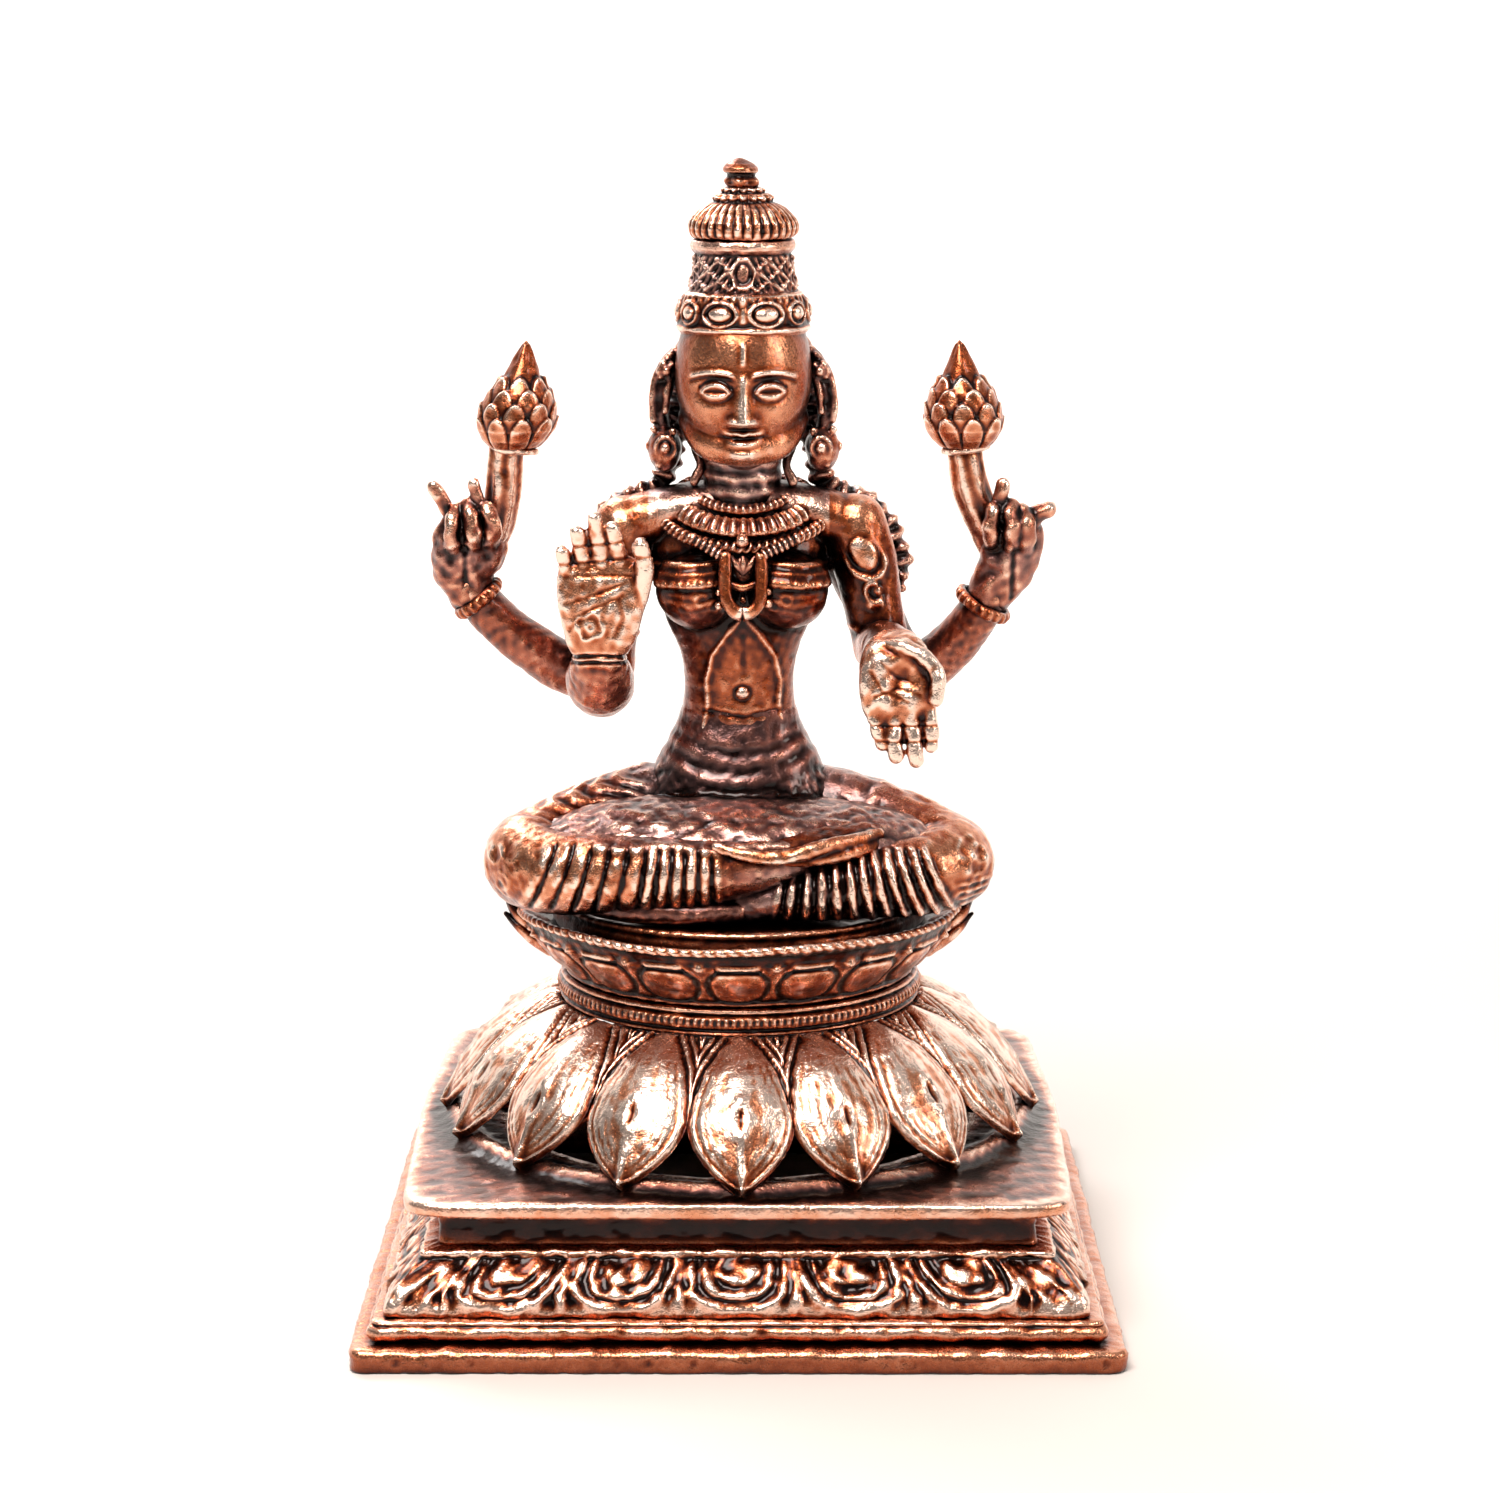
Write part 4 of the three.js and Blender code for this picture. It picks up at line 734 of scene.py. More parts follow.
def makeLegs():
    sizes = legSizes
    for word, relief, seed in (("right", rightLegRelief, 101), ("left", leftLegRelief, 102)):
        shape = welded([limb(sizes[word + "Thigh"], wide=(0, 1, 0), step=0.6), limb(sizes[word + "Shin"], wide=(0, 0, 1), step=0.6)], 0.3, 5)
        shape = shifted(shape, relief(shape[0]), 1)
        finishPiece(f"{word}Leg", shape, nodes=[f"leg_{word}"], seed=seed, stain=lapDirt, uneven=1.2, wear=0.68, polishAndPaintedLight=kneePolishAndHighlight, **polished)

    # right foot: sole up on the other leg, its upper edge a bright rolled fold
    foot = limb([(4, -19.8, 61.0, 2.4, 1.5), (8, -20.2, 61.4, 3.4, 1.7), (12, -19.4, 61.9, 3.6, 1.6), (16, -17.6, 62.2, 3.0, 1.4),
                 (19.2, -15.0, 62.3, 1.8, 1.0)], wide=(0.2, 0.75, 0.35), step=0.3)
    hem = limb([(-3, -23.2, 62.4, 0.7, 0.5), (1.5, -24.2, 61.4, 0.9, 0.6), (6.5, -23.9, 61.3, 1.0, 0.7), (11, -22.6, 62.3, 1.0, 0.7),
                (15, -20.4, 62.6, 0.9, 0.6), (18.6, -17.2, 62.9, 0.8, 0.6)], wide=(0, 0.4, 1), step=0.3)
    shape = welded([foot, hem], 0.22, 3)
    finishPiece("rightFoot", shape, nodes=["foot_right"], seed=103, uneven=1.0, **polished)

    left = limb([(0, -19.6, 53.0, 1.5, 2.2), (-6, -20.3, 53.0, 1.7, 2.6), (-14, -18.9, 53.0, 1.6, 2.7), (-20.5, -15, 52.9, 1.1, 1.8)],
                wide=(0, 0, 1), step=0.3, square=2.6)
    finishPiece("leftFoot", welded([left], 0.22, 3), nodes=["foot_left"], seed=104, stain=lambda v: 0.5 + 0 * v[:, 0], **patinated)

    # hips and lap: U folds of the girdle over rough, engraved cloth
    hips = limb([(0, 0.5, 54.5, 15.0, 9.5), (0, 0.2, 60.5, 15.0, 10.0), (0, 0.0, 65.0, 12.8, 8.6), (0, 0, 69.0, 11.2, 7.4),
                 (0, 0, 73.0, 9.2, 6.3), (0, 0, 75.0, 8.2, 5.7)], step=0.5, square=2.2)
    lap = limb([(-26, -10.5, 58.6, 5.0, 3.4), (-22, -10.2, 60.0, 7.8, 4.0), (-14, -10.2, 61.2, 9.6, 4.6), (0, -11.0, 61.2, 10.6, 4.8),
                (14, -10.2, 60.8, 9.6, 4.6), (22, -10.2, 59.6, 7.8, 4.0), (26, -10.5, 58.2, 5.0, 3.4)], wide=(0, 1, 0), step=0.5)
    shape = welded([hips, lap], 0.36, 5)
    v = shape[0]
    x, y, z = v.T
    front = smoothStep(-y, 1, 4)
    level = z - 0.032 * x ** 2
    folds = 0.10 * np.cos(2 * math.pi * (level - 67.4) / 2.7) * smoothStep(level, 66.0, 67.0) * (1 - smoothStep(level, 72.2, 73.0)) * (0.35 + 0.65 * front)
    beads = 0.05 * np.cos(x * 2 * math.pi / 1.3) * bell(level, 72.9, 0.45) * front
    rough = (0.12 * unevenness(v, 2.6, 91) + 0.07 * unevenness(v, 1.2, 92)) * (1 - smoothStep(level, 65.0, 67.0))
    shape = shifted(shape, folds + beads + rough, 1)
    finishPiece("waistCloth", shape, nodes=["waist_cloth"], seed=105, uneven=1.2, wear=0.6, polishAndPaintedLight=lambda p: 0.12 - 0.16 * smoothStep(p[:, 2], 65, 68),
                stain=lambda p: 0.75 + 0.2 * smoothStep(-p[:, 2], -70, -62), **patinated)
    print("legs made")


bodySizes = {
    "trunk": [(0, 0.0, 71.5, 8.8, 5.8), (0, -0.2, 76.0, 7.7, 5.4), (0, -0.3, 80.5, 7.3, 5.2), (0, -0.2, 84.5, 8.0, 5.6),
              (0, 0.0, 89.0, 9.8, 6.2), (0, 0.3, 94.0, 11.3, 6.6), (0, 0.6, 99.0, 11.6, 6.2), (0, 0.9, 102.6, 9.0, 5.2)],
    "shoulders": [(-16.0, 0.3, 100.6, 3.9, 3.9), (-12.2, 0.6, 102.2, 3.6, 4.2), (-6, 1.0, 104.0, 3.0, 4.6), (0, 1.0, 104.6, 2.8, 4.8),
                  (6, 1.0, 104.2, 3.0, 4.6), (12.2, 0.6, 102.4, 3.6, 4.2), (16.0, 0.3, 100.6, 3.9, 3.9)],
    "rightUpper": [(-15.4, 0.3, 101.0, 4.2, 4.2), (-16.6, 0.0, 95.0, 4.3, 4.2), (-17.4, -0.8, 88.0, 3.9, 3.9), (-17.9, -2.0, 82.0, 3.9, 3.9), (-18.0, -3.6, 80.6, 3.7, 3.7)],
    "leftUpper": [(15.4, 0.3, 101.4, 4.3, 4.2), (16.9, 0.0, 96.0, 4.4, 4.2), (18.0, -0.6, 90.5, 3.9, 3.9), (18.8, -1.6, 86.4, 3.8, 3.8), (18.9, -3.4, 85.2, 3.6, 3.6)],
    "bust": (6.0, -5.0, 93.2), "bustRadii": (5.5, 5.2, 5.1),
}


def torsoRelief(v):
    x, y, z = v.T
    front = smoothStep(-y, 0.5, 3.5) * (np.abs(x) < 12.8)
    mid = x - 0.7
    # breast band: two rounded cords over a beaded lower edge
    tilt = 0.05 * np.abs(mid)
    level = z + tilt
    onBand = smoothStep(np.abs(mid), 1.6, 2.2) * smoothStep(-y, -2.5, 0.5) * (np.abs(x) < 12.6)
    band = 0.50 * smoothStep(level, 94.3, 94.6) * (1 - smoothStep(level, 97.4, 97.7))
    band += 0.26 * bell(level, 97.1, 0.30) + 0.12 * bell(level, 96.1, 0.26) + 0.14 * bell(level, 94.9, 0.40) * (0.6 + 0.6 * np.cos(x * 2 * math.pi / 0.95))
    # back of the band: one plain strap
    strap = 0.40 * smoothStep(z, 94.4, 94.8) * (1 - smoothStep(z, 96.6, 97.0)) * smoothStep(y, 1.5, 3.5) * (np.abs(x) < 12.6)
    folds = -0.10 * lineRelief(np.abs(mid), z, [(3.2, 93.2), (6.5, 92.4), (10.0, 92.8)], 0.30) \
        - 0.08 * lineRelief(np.abs(mid), z, [(4.0, 91.6), (7.0, 91.0), (9.6, 91.6)], 0.30)
    swirl = 0.08 * ringRelief(np.abs(mid), z, [(5.6, 92.6), (3.9, 91.8)], 0.75, 0.26)
    # two cords from under the bust round the belly, and the navel with its rim
    cords = 0.26 * lineRelief(np.abs(x - 0.6), z, [(0.6, 89.2), (2.2, 87.4), (4.2, 84.4), (4.9, 81.0), (4.7, 77.8), (5.4, 74.2)], 0.34)
    navel = np.hypot(x - 0.5, (z - 79.4) * 1.05)
    button = 0.42 * np.sqrt(np.clip(1 - (navel / 0.8) ** 2, 0, 1)) - 0.12 * bell(navel, 1.1, 0.3)
    crease = -0.20 * lineRelief(x, z, [(-4.4, 76.9), (0.5, 76.2), (5.4, 76.9)], 0.35) - 0.12 * lineRelief(x, z, [(0.6, 87.0), (0.6, 82)], 0.5)
    spine = -0.45 * bell(x, 0, 0.9) * smoothStep(y, 2, 5) * (1 - smoothStep(z, 98, 101))
    return front * (cords + button + crease + folds * 0.9 + swirl) + band * onBand + strap + spine


# ornaments of the front upper arms, set where each faces the viewer: an oval medallion in a crescent above a
# small curl, and a line of beads above the elbow
def armRelief(v):
    x, y, z = v.T
    out = np.zeros(len(v))
    for side, shift in ((1, 0.0), (-1, -1.2)):
        a, b = side * x - 16.6, z - (98.0 + shift)
        a = a + 0.25 * b  # the ornaments lean with the arm
        facing = smoothStep(-y, 0.3, 2.0) * (np.abs(a) < 6)
        oval = np.hypot(a / 1.9, b / 2.2)
        crescent = np.hypot(a / 2.6, (b + 0.5) / 2.9)
        out += facing * (0.50 * np.sqrt(np.clip(1 - oval ** 2, 0, 1)) + 0.34 * bell(crescent, 1.0, 0.13) * smoothStep(-b, -0.4, 1.4))
        curl = np.hypot(a - 0.2, (b + 5.3) * 0.9)
        out += facing * (0.45 * bell(curl, 1.2, 0.34) * (a < 0.9) + 0.40 * bell(np.hypot(a - 0.5, b + 5.0), 0, 0.55) + 0.35 * bell(np.hypot(a + 0.8, b + 7.0), 0, 0.5))
        ring = 0.36 * bell(z + 0.15 * side * x, 92.4 - 2.2 + shift, 0.42) * (np.abs(x) > 13) * (0.7 + 0.4 * np.cos(3.4 * a))
        band = 0.30 * bell(z, 95.0 + shift, 0.35) * (np.abs(x) > 13.2) * smoothStep(y, -1.0, 1.0)
        out += (side * x > 0) * (ring + band)
    return out


def bodyDirt(v):
    x, y, z = v.T
    waist = 0.55 * smoothStep(np.abs(x - 0.5), 5.2, 7.6) * smoothStep(-z, -92, -86) * (np.abs(x) < 12)
    waist += 0.9 * smoothStep(-z, -76.5, -73)
    under = 0.35 * bell(z, 89.6, 1.6) * (np.abs(x) < 11)
    collar = 0.85 * smoothStep(z, 101.8, 104.5) * (np.abs(x) < 12)
    return waist + under + collar + 0.25 * smoothStep(y, 0, 4)


# painted highlight on the shoulders, and the chest just above the band painted lighter against the painted shade there;
# the belly round the navel is handled most; darker along the band, and painted shade under the bust
def bodyPolishHighlightAndShade(v):
    x, y, z = v.T
    return 0.10 * smoothStep(np.abs(x), 11, 14) * smoothStep(z, 96, 100) + 0.22 * smoothStep(z, 97.2, 98.5) * smoothStep(-y, 0, 3) * (np.abs(x) < 12) \
        + 0.16 * bell(np.hypot(x - 0.6, z - 79.6), 0, 3.4) * smoothStep(-y, 2, 4) - 0.20 * bell(z, 96, 1.7) * (np.abs(x) < 12.6) - 0.16 * bell(z, 90.5, 3.0) * (np.abs(x) < 12.5)


def makeBody():
    sizes = bodySizes
    cx, cy, cz = sizes["bust"]
    parts = [limb(sizes["trunk"], step=0.5, square=2.15, columns=56), limb(sizes["shoulders"], wide=(0, 0, 1), step=0.5),
             limb(sizes["rightUpper"], step=0.5), limb(sizes["leftUpper"], step=0.5)]
    parts += [ballShape((side * cx + 0.5, cy, cz), sizes["bustRadii"]) for side in (-1, 1)]
    shape = welded(parts, 0.28, 6)
    v = shape[0]
    shape = shifted(shape, torsoRelief(v) + armRelief(v), 0)
    finishPiece("torsoAndArms", shape, nodes=["torso", "upper_arm_front_right", "upper_arm_front_left", "breast_band",
                                              "armlet_right", "armlet_left"],
                seed=110, stain=bodyDirt, uneven=0.9, wear=0.85, polishAndPaintedLight=bodyPolishHighlightAndShade, **polished)

    # neck with three soft rings, and its jewellery
    neck = limb([(0.2, 0.6, 101.5, 5.6, 5.6), (0.3, 0.3, 105, 5.3, 5.3), (0.5, 0.3, 112, 5.2, 5.4)], step=0.25, columns=90,
                relief=lambda s, a, z: 0.10 * np.cos(2 * math.pi * (z - 106.2) / 1.9))
    finishPiece("neckColumn", neck, nodes=[], seed=111, stain=lambda p: 0.95 + 0 * p[:, 0], uneven=1.5, **patinated)
    makeNecklaces()
    print("torso made")


# a closed ring tipped forward: x = width sin a, y between -forward and back, and z lowest at the front (top -
# drop) and highest behind
def necklaceLine(width, top, drop, forward, back, count=240, centre=0.6):
    a = np.linspace(0, 2 * math.pi, count, endpoint=False)
    c = np.cos(a)
    y = np.where(c > 0, -forward * c, -back * c)
    z = top - drop * (0.5 + 0.5 * c) ** 1.4
    return np.stack([centre + width * np.sin(a), y + 0.4, z], 1), a


# an oval section carried round a closed line: `out` mm thick along the line's outward normal, `up` mm high,
# with relief(angle, section angle) added
def ringBand(line, angle, out, up, relief):
    tangent = np.roll(line, -1, 0) - np.roll(line, 1, 0)
    tangent /= np.linalg.norm(tangent, axis=1)[:, None]
    middle = np.array([0.6, 0.6, 0])
    outward = (line - middle) * np.array([1, 1, 0])
    outward /= np.linalg.norm(outward, axis=1)[:, None]
    outward = outward * 0.75 + np.array([0, 0, 0.66])
    outward -= tangent * np.einsum("ij,ij->i", outward, tangent)[:, None]
    outward /= np.linalg.norm(outward, axis=1)[:, None]
    side = np.cross(tangent, outward)
    b = np.linspace(0, 2 * math.pi, 22, endpoint=False)[None]
    grow = relief(angle[:, None], b)
    x, y = (out + grow) * np.cos(b), (up + grow * 0.3) * np.sin(b)
    return gridSurface(line[:, None] + outward[:, None] * x[..., None] + side[:, None] * y[..., None], ends="loop")


def makeNecklaces():
    rows = []
    line, a = necklaceLine(6.6, 107.4, 3.3, 6.2, 5.8, 500)
    rows.append(ringBand(line, a, 0.55, 0.75, lambda a, b: 0.16 * np.cos(a * 46) * (np.cos(b) > 0)))
    line, a = necklaceLine(9.0, 106.8, 4.9, 7.9, 6.0, 640)
    rows.append(ringBand(line, a, 0.62, 1.35, lambda a, b: (0.24 * np.cos(a * 44) + 0.2 * bell(np.abs(np.sin(b)), 0.95, 0.2)) * (np.cos(b) > -0.2)))
    line, a = necklaceLine(11.2, 105.6, 6.2, 8.7, 5.6, 760)
    rows.append(ringBand(line, a, 0.62, 0.85, lambda a, b: 0.22 * np.cos(a * 66 + 2.2 * b) * (np.cos(b) > -0.5)))
    finishPiece("necklaces", joinShapes([facingOut(r) for r in rows]), nodes=["necklace"], seed=112, uneven=0.8,
                stain=lambda p: 0.15 * smoothStep(p[:, 2], 103, 106), **polished)

    # V of two cords to the clasp, bead drop and leaf pendant between the breasts
    leaf = ballShape((0.6, -8.3, 96.6), (1.25, 0.8, 1.7))
    drop = ballShape((0.5, -8.9, 100.3), (0.85, 0.85, 0.95))
    cup = ballShape((0.5, -8.7, 101.1), (0.6, 0.6, 0.4))
    cords = [limb([(-6.0, -8.4, 100.6, 0.65, 0.5), (-3.2, -9.0, 99.0, 0.7, 0.5), (-1.4, -9.6, 98.2, 0.7, 0.5)], step=0.15,
                  relief=lambda s, a, z: 0.14 * np.cos(s * 2 * math.pi / 0.8)),
             limb([(7.6, -8.4, 100.6, 0.65, 0.5), (4.6, -9.0, 99.2, 0.7, 0.5), (2.8, -9.6, 98.4, 0.7, 0.5)], step=0.15,
                  relief=lambda s, a, z: 0.14 * np.cos(s * 2 * math.pi / 0.8))]
    petals = [limb([(0.6, -9.0, 96.0, 0.4, 0.3), (0.6 + side * 0.9, -9.3, 97.2, 0.45, 0.35), (0.6 + side * 1.5, -9.0, 98.2, 0.3, 0.25)], step=0.2)
              for side in (-1, 0, 1)]
    finishPiece("pendant", joinShapes([facingOut(s) for s in [leaf, drop, cup] + cords + petals]), nodes=["pendant"], seed=113,
                uneven=0.5, stain=lambda p: 0.3 + 0 * p[:, 0], **polished)

    loop = limb([(-1.7, -9.6, 98.6, 0.75, 0.5), (-1.75, -10.1, 96.0, 0.85, 0.6), (-1.6, -10.6, 93.0, 0.85, 0.6), (-0.6, -10.7, 91.4, 0.9, 0.7),
                 (0.6, -10.7, 90.9, 1.0, 0.7), (1.9, -10.7, 91.4, 0.9, 0.7), (2.85, -10.6, 93.0, 0.85, 0.6), (3.0, -10.1, 96.0, 0.85, 0.6),
                 (2.95, -9.6, 98.4, 0.75, 0.5)], wide=(1, 0, 0), step=0.2)
    bar = limb([(-1.2, -9.6, 94.8, 0.5, 0.5), (0.6, -9.9, 94.3, 0.55, 0.5), (2.4, -9.6, 94.8, 0.5, 0.5)], wide=(0, 0, 1), step=0.2)
    beads = beadRow([(-2.6, -10.0, 91.9), (3.9, -10.0, 92.2), (-2.6, -9.9, 93.6), (3.9, -9.9, 93.8), (0.6, -9.2, 92.6)], [0.6, 0.6, 0.5, 0.5, 0.5])
    finishPiece("bandClasp", joinShapes([facingOut(s) for s in (loop, bar, beads)]), nodes=["band_clasp"], seed=114, uneven=0.6, **polished)


headSizes = {
    "x": 0.6, "y": -1.2, "chin": 110.0, "hairline": 127.3, "halfWidth": 9.0,
    "skull": [(0.6, -0.6, 112.6, 4.6, 6.0), (0.6, -1.0, 115.0, 7.2, 7.8), (0.6, -1.2, 118.0, 8.7, 9.0), (0.6, -1.2, 121.5, 9.1, 9.3),
              (0.6, -1.0, 125.5, 8.7, 9.1), (0.6, -0.9, 129.0, 7.6, 8.0)],
}


# proportions by thirds: brow at 2/3 and nose base at 1/3 of the face's height, the mouth a third of the way
# from nose to chin, eyes a fifth of the face wide and one eye apart
def faceRelief(v):
    h = headSizes
    x, y, z = v[:, 0] - h["x"], v[:, 1], v[:, 2]
    third = (h["hairline"] - h["chin"]) / 3
    nose, brow = h["chin"] + third, h["chin"] + 2 * third
    mouth, eye = nose - third / 3, brow - third * 0.27
    eyeHalf = h["halfWidth"] * 2 / 5 / 2
    apart = eyeHalf * 2
    front = smoothStep(-y, 2.5, 6.0)
    e = (np.abs(x) - apart) / eyeHalf
    inside = np.clip(1 - e ** 2, 0, 1)
    upper, lower = eye + 0.95 * inside ** 0.8, eye - 0.55 * inside
    socket = -0.75 * np.exp(-(e / 1.25) ** 2 - ((z - eye - 0.2) / 1.5) ** 2)
    ball = 0.95 * np.sqrt(np.clip(1 - (e / 1.12) ** 2 - ((z - eye - 0.1) / 1.35) ** 2, 0, 1))
    lids = 0.34 * bell(z, upper, 0.20) * (np.abs(e) < 1.15) + 0.20 * bell(z, lower, 0.18) * (np.abs(e) < 1.05)
    slit = -0.22 * bell(z, eye + 0.12 * inside, 0.22) * (inside > 0.05)
    crease = -0.22 * bell(z, upper + 0.62, 0.18) * (np.abs(e) < 1.2)
    arch = brow + 0.25 + 0.75 * np.clip(1 - ((np.abs(x) - apart * 1.05) / (eyeHalf * 1.9)) ** 2, -0.6, 1)
    brows = (0.42 * bell(z, arch, 0.32) - 0.22 * bell(z, arch - 0.6, 0.22)) * smoothStep(np.abs(x), 0.9, 1.7) * (1 - smoothStep(np.abs(x), 6.6, 7.4))
    run = np.clip((brow - 0.3 - z) / (brow - 0.3 - nose), 0, 1.25)
    bridge = (0.50 + 1.6 * run ** 1.5) * bell(x, 0, 0.80 + 0.55 * run) * (z < brow + 1.2) * smoothStep(z, nose - 0.75, nose + 0.15)
    bridge *= 1 - smoothStep(z, brow - 0.4, brow + 1.2)
    wings = 0.95 * np.exp(-((np.abs(x) - 1.45) / 0.62) ** 2 - ((z - nose - 0.35) / 0.60) ** 2)
    under = -0.18 * np.exp(-(x / 1.9) ** 2 - ((z - nose + 0.7) / 0.35) ** 2)
    spread = np.clip(1 - (x / 2.75) ** 2, 0, 1)
    line = mouth + 0.035 * x ** 2
    bow = 0.16 * bell(np.abs(x), 0.75, 0.5) - 0.10 * bell(x, 0, 0.4)
    lips = 0.42 * bell(z, line + 0.50 + bow, 0.45) * spread ** 0.6 + 0.48 * bell(z, line - 0.60, 0.50) * np.clip(1 - (x / 2.3) ** 2, 0, 1) ** 0.7
    lips += -0.26 * bell(z, line, 0.17) * (np.abs(x) < 2.7) - 0.22 * bell(z, line - 1.5, 0.4) * bell(x, 0, 1.5)
    corners = -0.16 * np.exp(-((np.abs(x) - 3.0) / 0.45) ** 2 - ((z - line) / 0.5) ** 2)
    philtrum = -0.16 * bell(x, 0, 0.35) * smoothStep(z, mouth + 0.9, mouth + 1.2) * (1 - smoothStep(z, nose - 0.5, nose - 0.2))
    muzzle = 0.35 * np.exp(-(x / 3.2) ** 2 - ((z - mouth) / 2.0) ** 2)
    chin = 0.60 * np.exp(-(x / 2.0) ** 2 - ((z - h["chin"] - 1.6) / 1.2) ** 2)
    cheeks = 0.45 * np.exp(-((np.abs(x) - 4.9) / 2.2) ** 2 - ((z - nose - 1.4) / 2.2) ** 2)
    mark = 0.30 * bell(x, 0, 0.30) * smoothStep(z, brow + 1.7, brow + 2.2) * (1 - smoothStep(z, brow + 4.6, brow + 5.0))
    return front * (socket + ball * 0.8 + lids + slit + crease + brows + bridge + wings + under + lips + corners + philtrum + muzzle + chin + cheeks + mark)


def headDirt(v):
    x, y, z = v[:, 0] - headSizes["x"], v[:, 1], v[:, 2]
    return 0.85 * smoothStep(y, -2.0, 1.0) + 0.9 * smoothStep(-z, -112.2, -110.4) * smoothStep(y, -8.5, -6) - 0.25 * smoothStep(-y, 5, 8)


def makeHead():
    h = headSizes
    chin = ballShape((h["x"], -6.9, 112.1), (2.9, 2.6, 2.2))
    jaws = [limb([(h["x"] + side * 6.6, -1.4, 115.6, 2.2, 2.2), (h["x"] + side * 4.4, -5.2, 112.9, 2.3, 2.3), (h["x"], -7.0, 112.2, 2.4, 2.2)],
                 wide=(0, 0, 1), step=0.4) for side in (-1, 1)]
    shape = welded([limb(h["skull"], step=0.4, columns=60), chin] + jaws, 0.19, 26)
    v = shape[0]
    move = faceRelief(v)
    # the face's relief pushes forward, so that nose and lips stand straight out
    shape = (v + move[:, None] * np.array([0, -1.0, 0]), shape[1], shape[2])
    shape = (relaxed(shape[0], edgesOf(shape), 2, 0.5), shape[1], shape[2])
    finishPiece("head", shape, nodes=["head"], seed=120, uneven=0.25, stain=headDirt, wear=0.9,
                polishAndPaintedLight=lambda p: 0.22 * smoothStep(-p[:, 1], 3, 8), **polished)
    makeEars()
    makeCrown()
    print("head made")


def makeEars():
    hx = headSizes["x"]
    for word, side in (("right", -1), ("left", 1)):
        def at(x, y, z, a, b):
            return (hx + side * x, y, z, a, b)
        ear = limb([at(8.9, 1.6, 124.3, 0.9, 1.3), at(9.8, 1.4, 122.6, 1.3, 1.7), at(10.6, 1.1, 119.6, 1.25, 1.8), at(11.0, 0.8, 116.4, 1.15, 1.5),
                    at(10.7, 0.5, 113.6, 1.1, 1.3)], wide=(1, 0, 0), step=0.3)
        rim = limb([at(9.6, 0.2, 124.0, 0.5, 0.5), at(11.3, 0.1, 121.6, 0.6, 0.6), at(12.0, -0.1, 118.6, 0.6, 0.6), at(11.9, -0.3, 115.4, 0.55, 0.6)], step=0.3)
        inner = limb([at(9.4, -0.6, 121.6, 0.45, 0.5), at(10.1, -0.9, 119.2, 0.5, 0.5), at(10.3, -0.9, 116.6, 0.5, 0.5)], step=0.3)
        knob = beadRow([(hx + side * (10.1 + 0.95 * math.cos(a)), -0.7, 121.9 + 0.95 * math.sin(a)) for a in np.linspace(0, 5.6, 6)]
                       + [(hx + side * 10.1, -1.1, 121.9)], [0.6] * 6 + [0.7])
        finishPiece(f"{word}Ear", welded([ear, rim, inner, knob], 0.2, 2), nodes=[], seed=130 + side,
                    stain=lambda p: 0.45 + 0 * p[:, 0], **polished)
        ring = ballShape((hx + side * 10.5, -0.3, 111.6), (2.25, 2.9, 3.1), 34, 48)
        hoop = [(hx + side * (10.3 + 1.25 * math.cos(a)), -2.75 - 0.2 * math.sin(a), 111.9 + 1.5 * math.sin(a)) for a in np.linspace(0, 2 * math.pi, 13)]
        hoopLimb = limb([(*p, 0.34, 0.3) for p in hoop], step=0.25)
        beads = beadRow([(hx + side * 10.3, -3.1, 112.0), (hx + side * 11.9, -1.6, 114.3), (hx + side * 9.3, -2.0, 114.0), (hx + side * 12.6, -0.6, 112.0),
                         (hx + side * 11.2, -2.2, 109.6)], [0.75, 0.6, 0.6, 0.6, 0.5])
        finishPiece(f"{word}Earring", welded([ring, hoopLimb, beads], 0.2, 2), nodes=[f"earring_{word}"], seed=134 + side,
                    stain=lambda p: 0.15 + 0.4 * smoothStep(-p[:, 2], -110.5, -108.5), **polished)
        reach = 22.0 if side > 0 else 20.6
        lock = limb([at(6.8, 5.4, 124, 2.2, 2.2), at(8.2, 5.0, 118, 2.2, 2.0), at(9.6, 3.6, 112.5, 1.9, 1.7), at(10.6, 2.6, 107.6, 1.5, 1.5), at(12.2, 2.6, 105.6, 1.4, 1.4),
                     at(16.0, 3.4, 104.2, 1.5, 1.3), at(19.2, 4.2, 100.8, 1.6, 1.3), at(reach - 0.9, 4.8, 96.0, 1.5, 1.2), at(reach - 1.2, 5.0, 92.2, 1.0, 0.9)],
                    wide=(1, 0, 0), step=0.25,
                    relief=lambda s, a, z: 0.34 * np.cos(s * 2 * math.pi / 1.9) + 0.18 * np.cos(3 * a + s * 1.3))
        strand = limb([at(6.4, 0.6, 111.6, 0.7, 0.7), at(5.7, -0.8, 109.4, 0.6, 0.6), at(6.6, -1.2, 107.2, 0.7, 0.7)], step=0.25)
        finishPiece(f"{word}HairLock", welded([lock, strand], 0.24, 1), nodes=[f"hair_{word}"], seed=138 + side, uneven=1.3,
                    stain=lambda p: 0.6 + 0 * p[:, 0], **patinated)


crownSizes = {"x": 0.6, "y": -0.9, "ribs": 34, "columns": 440}


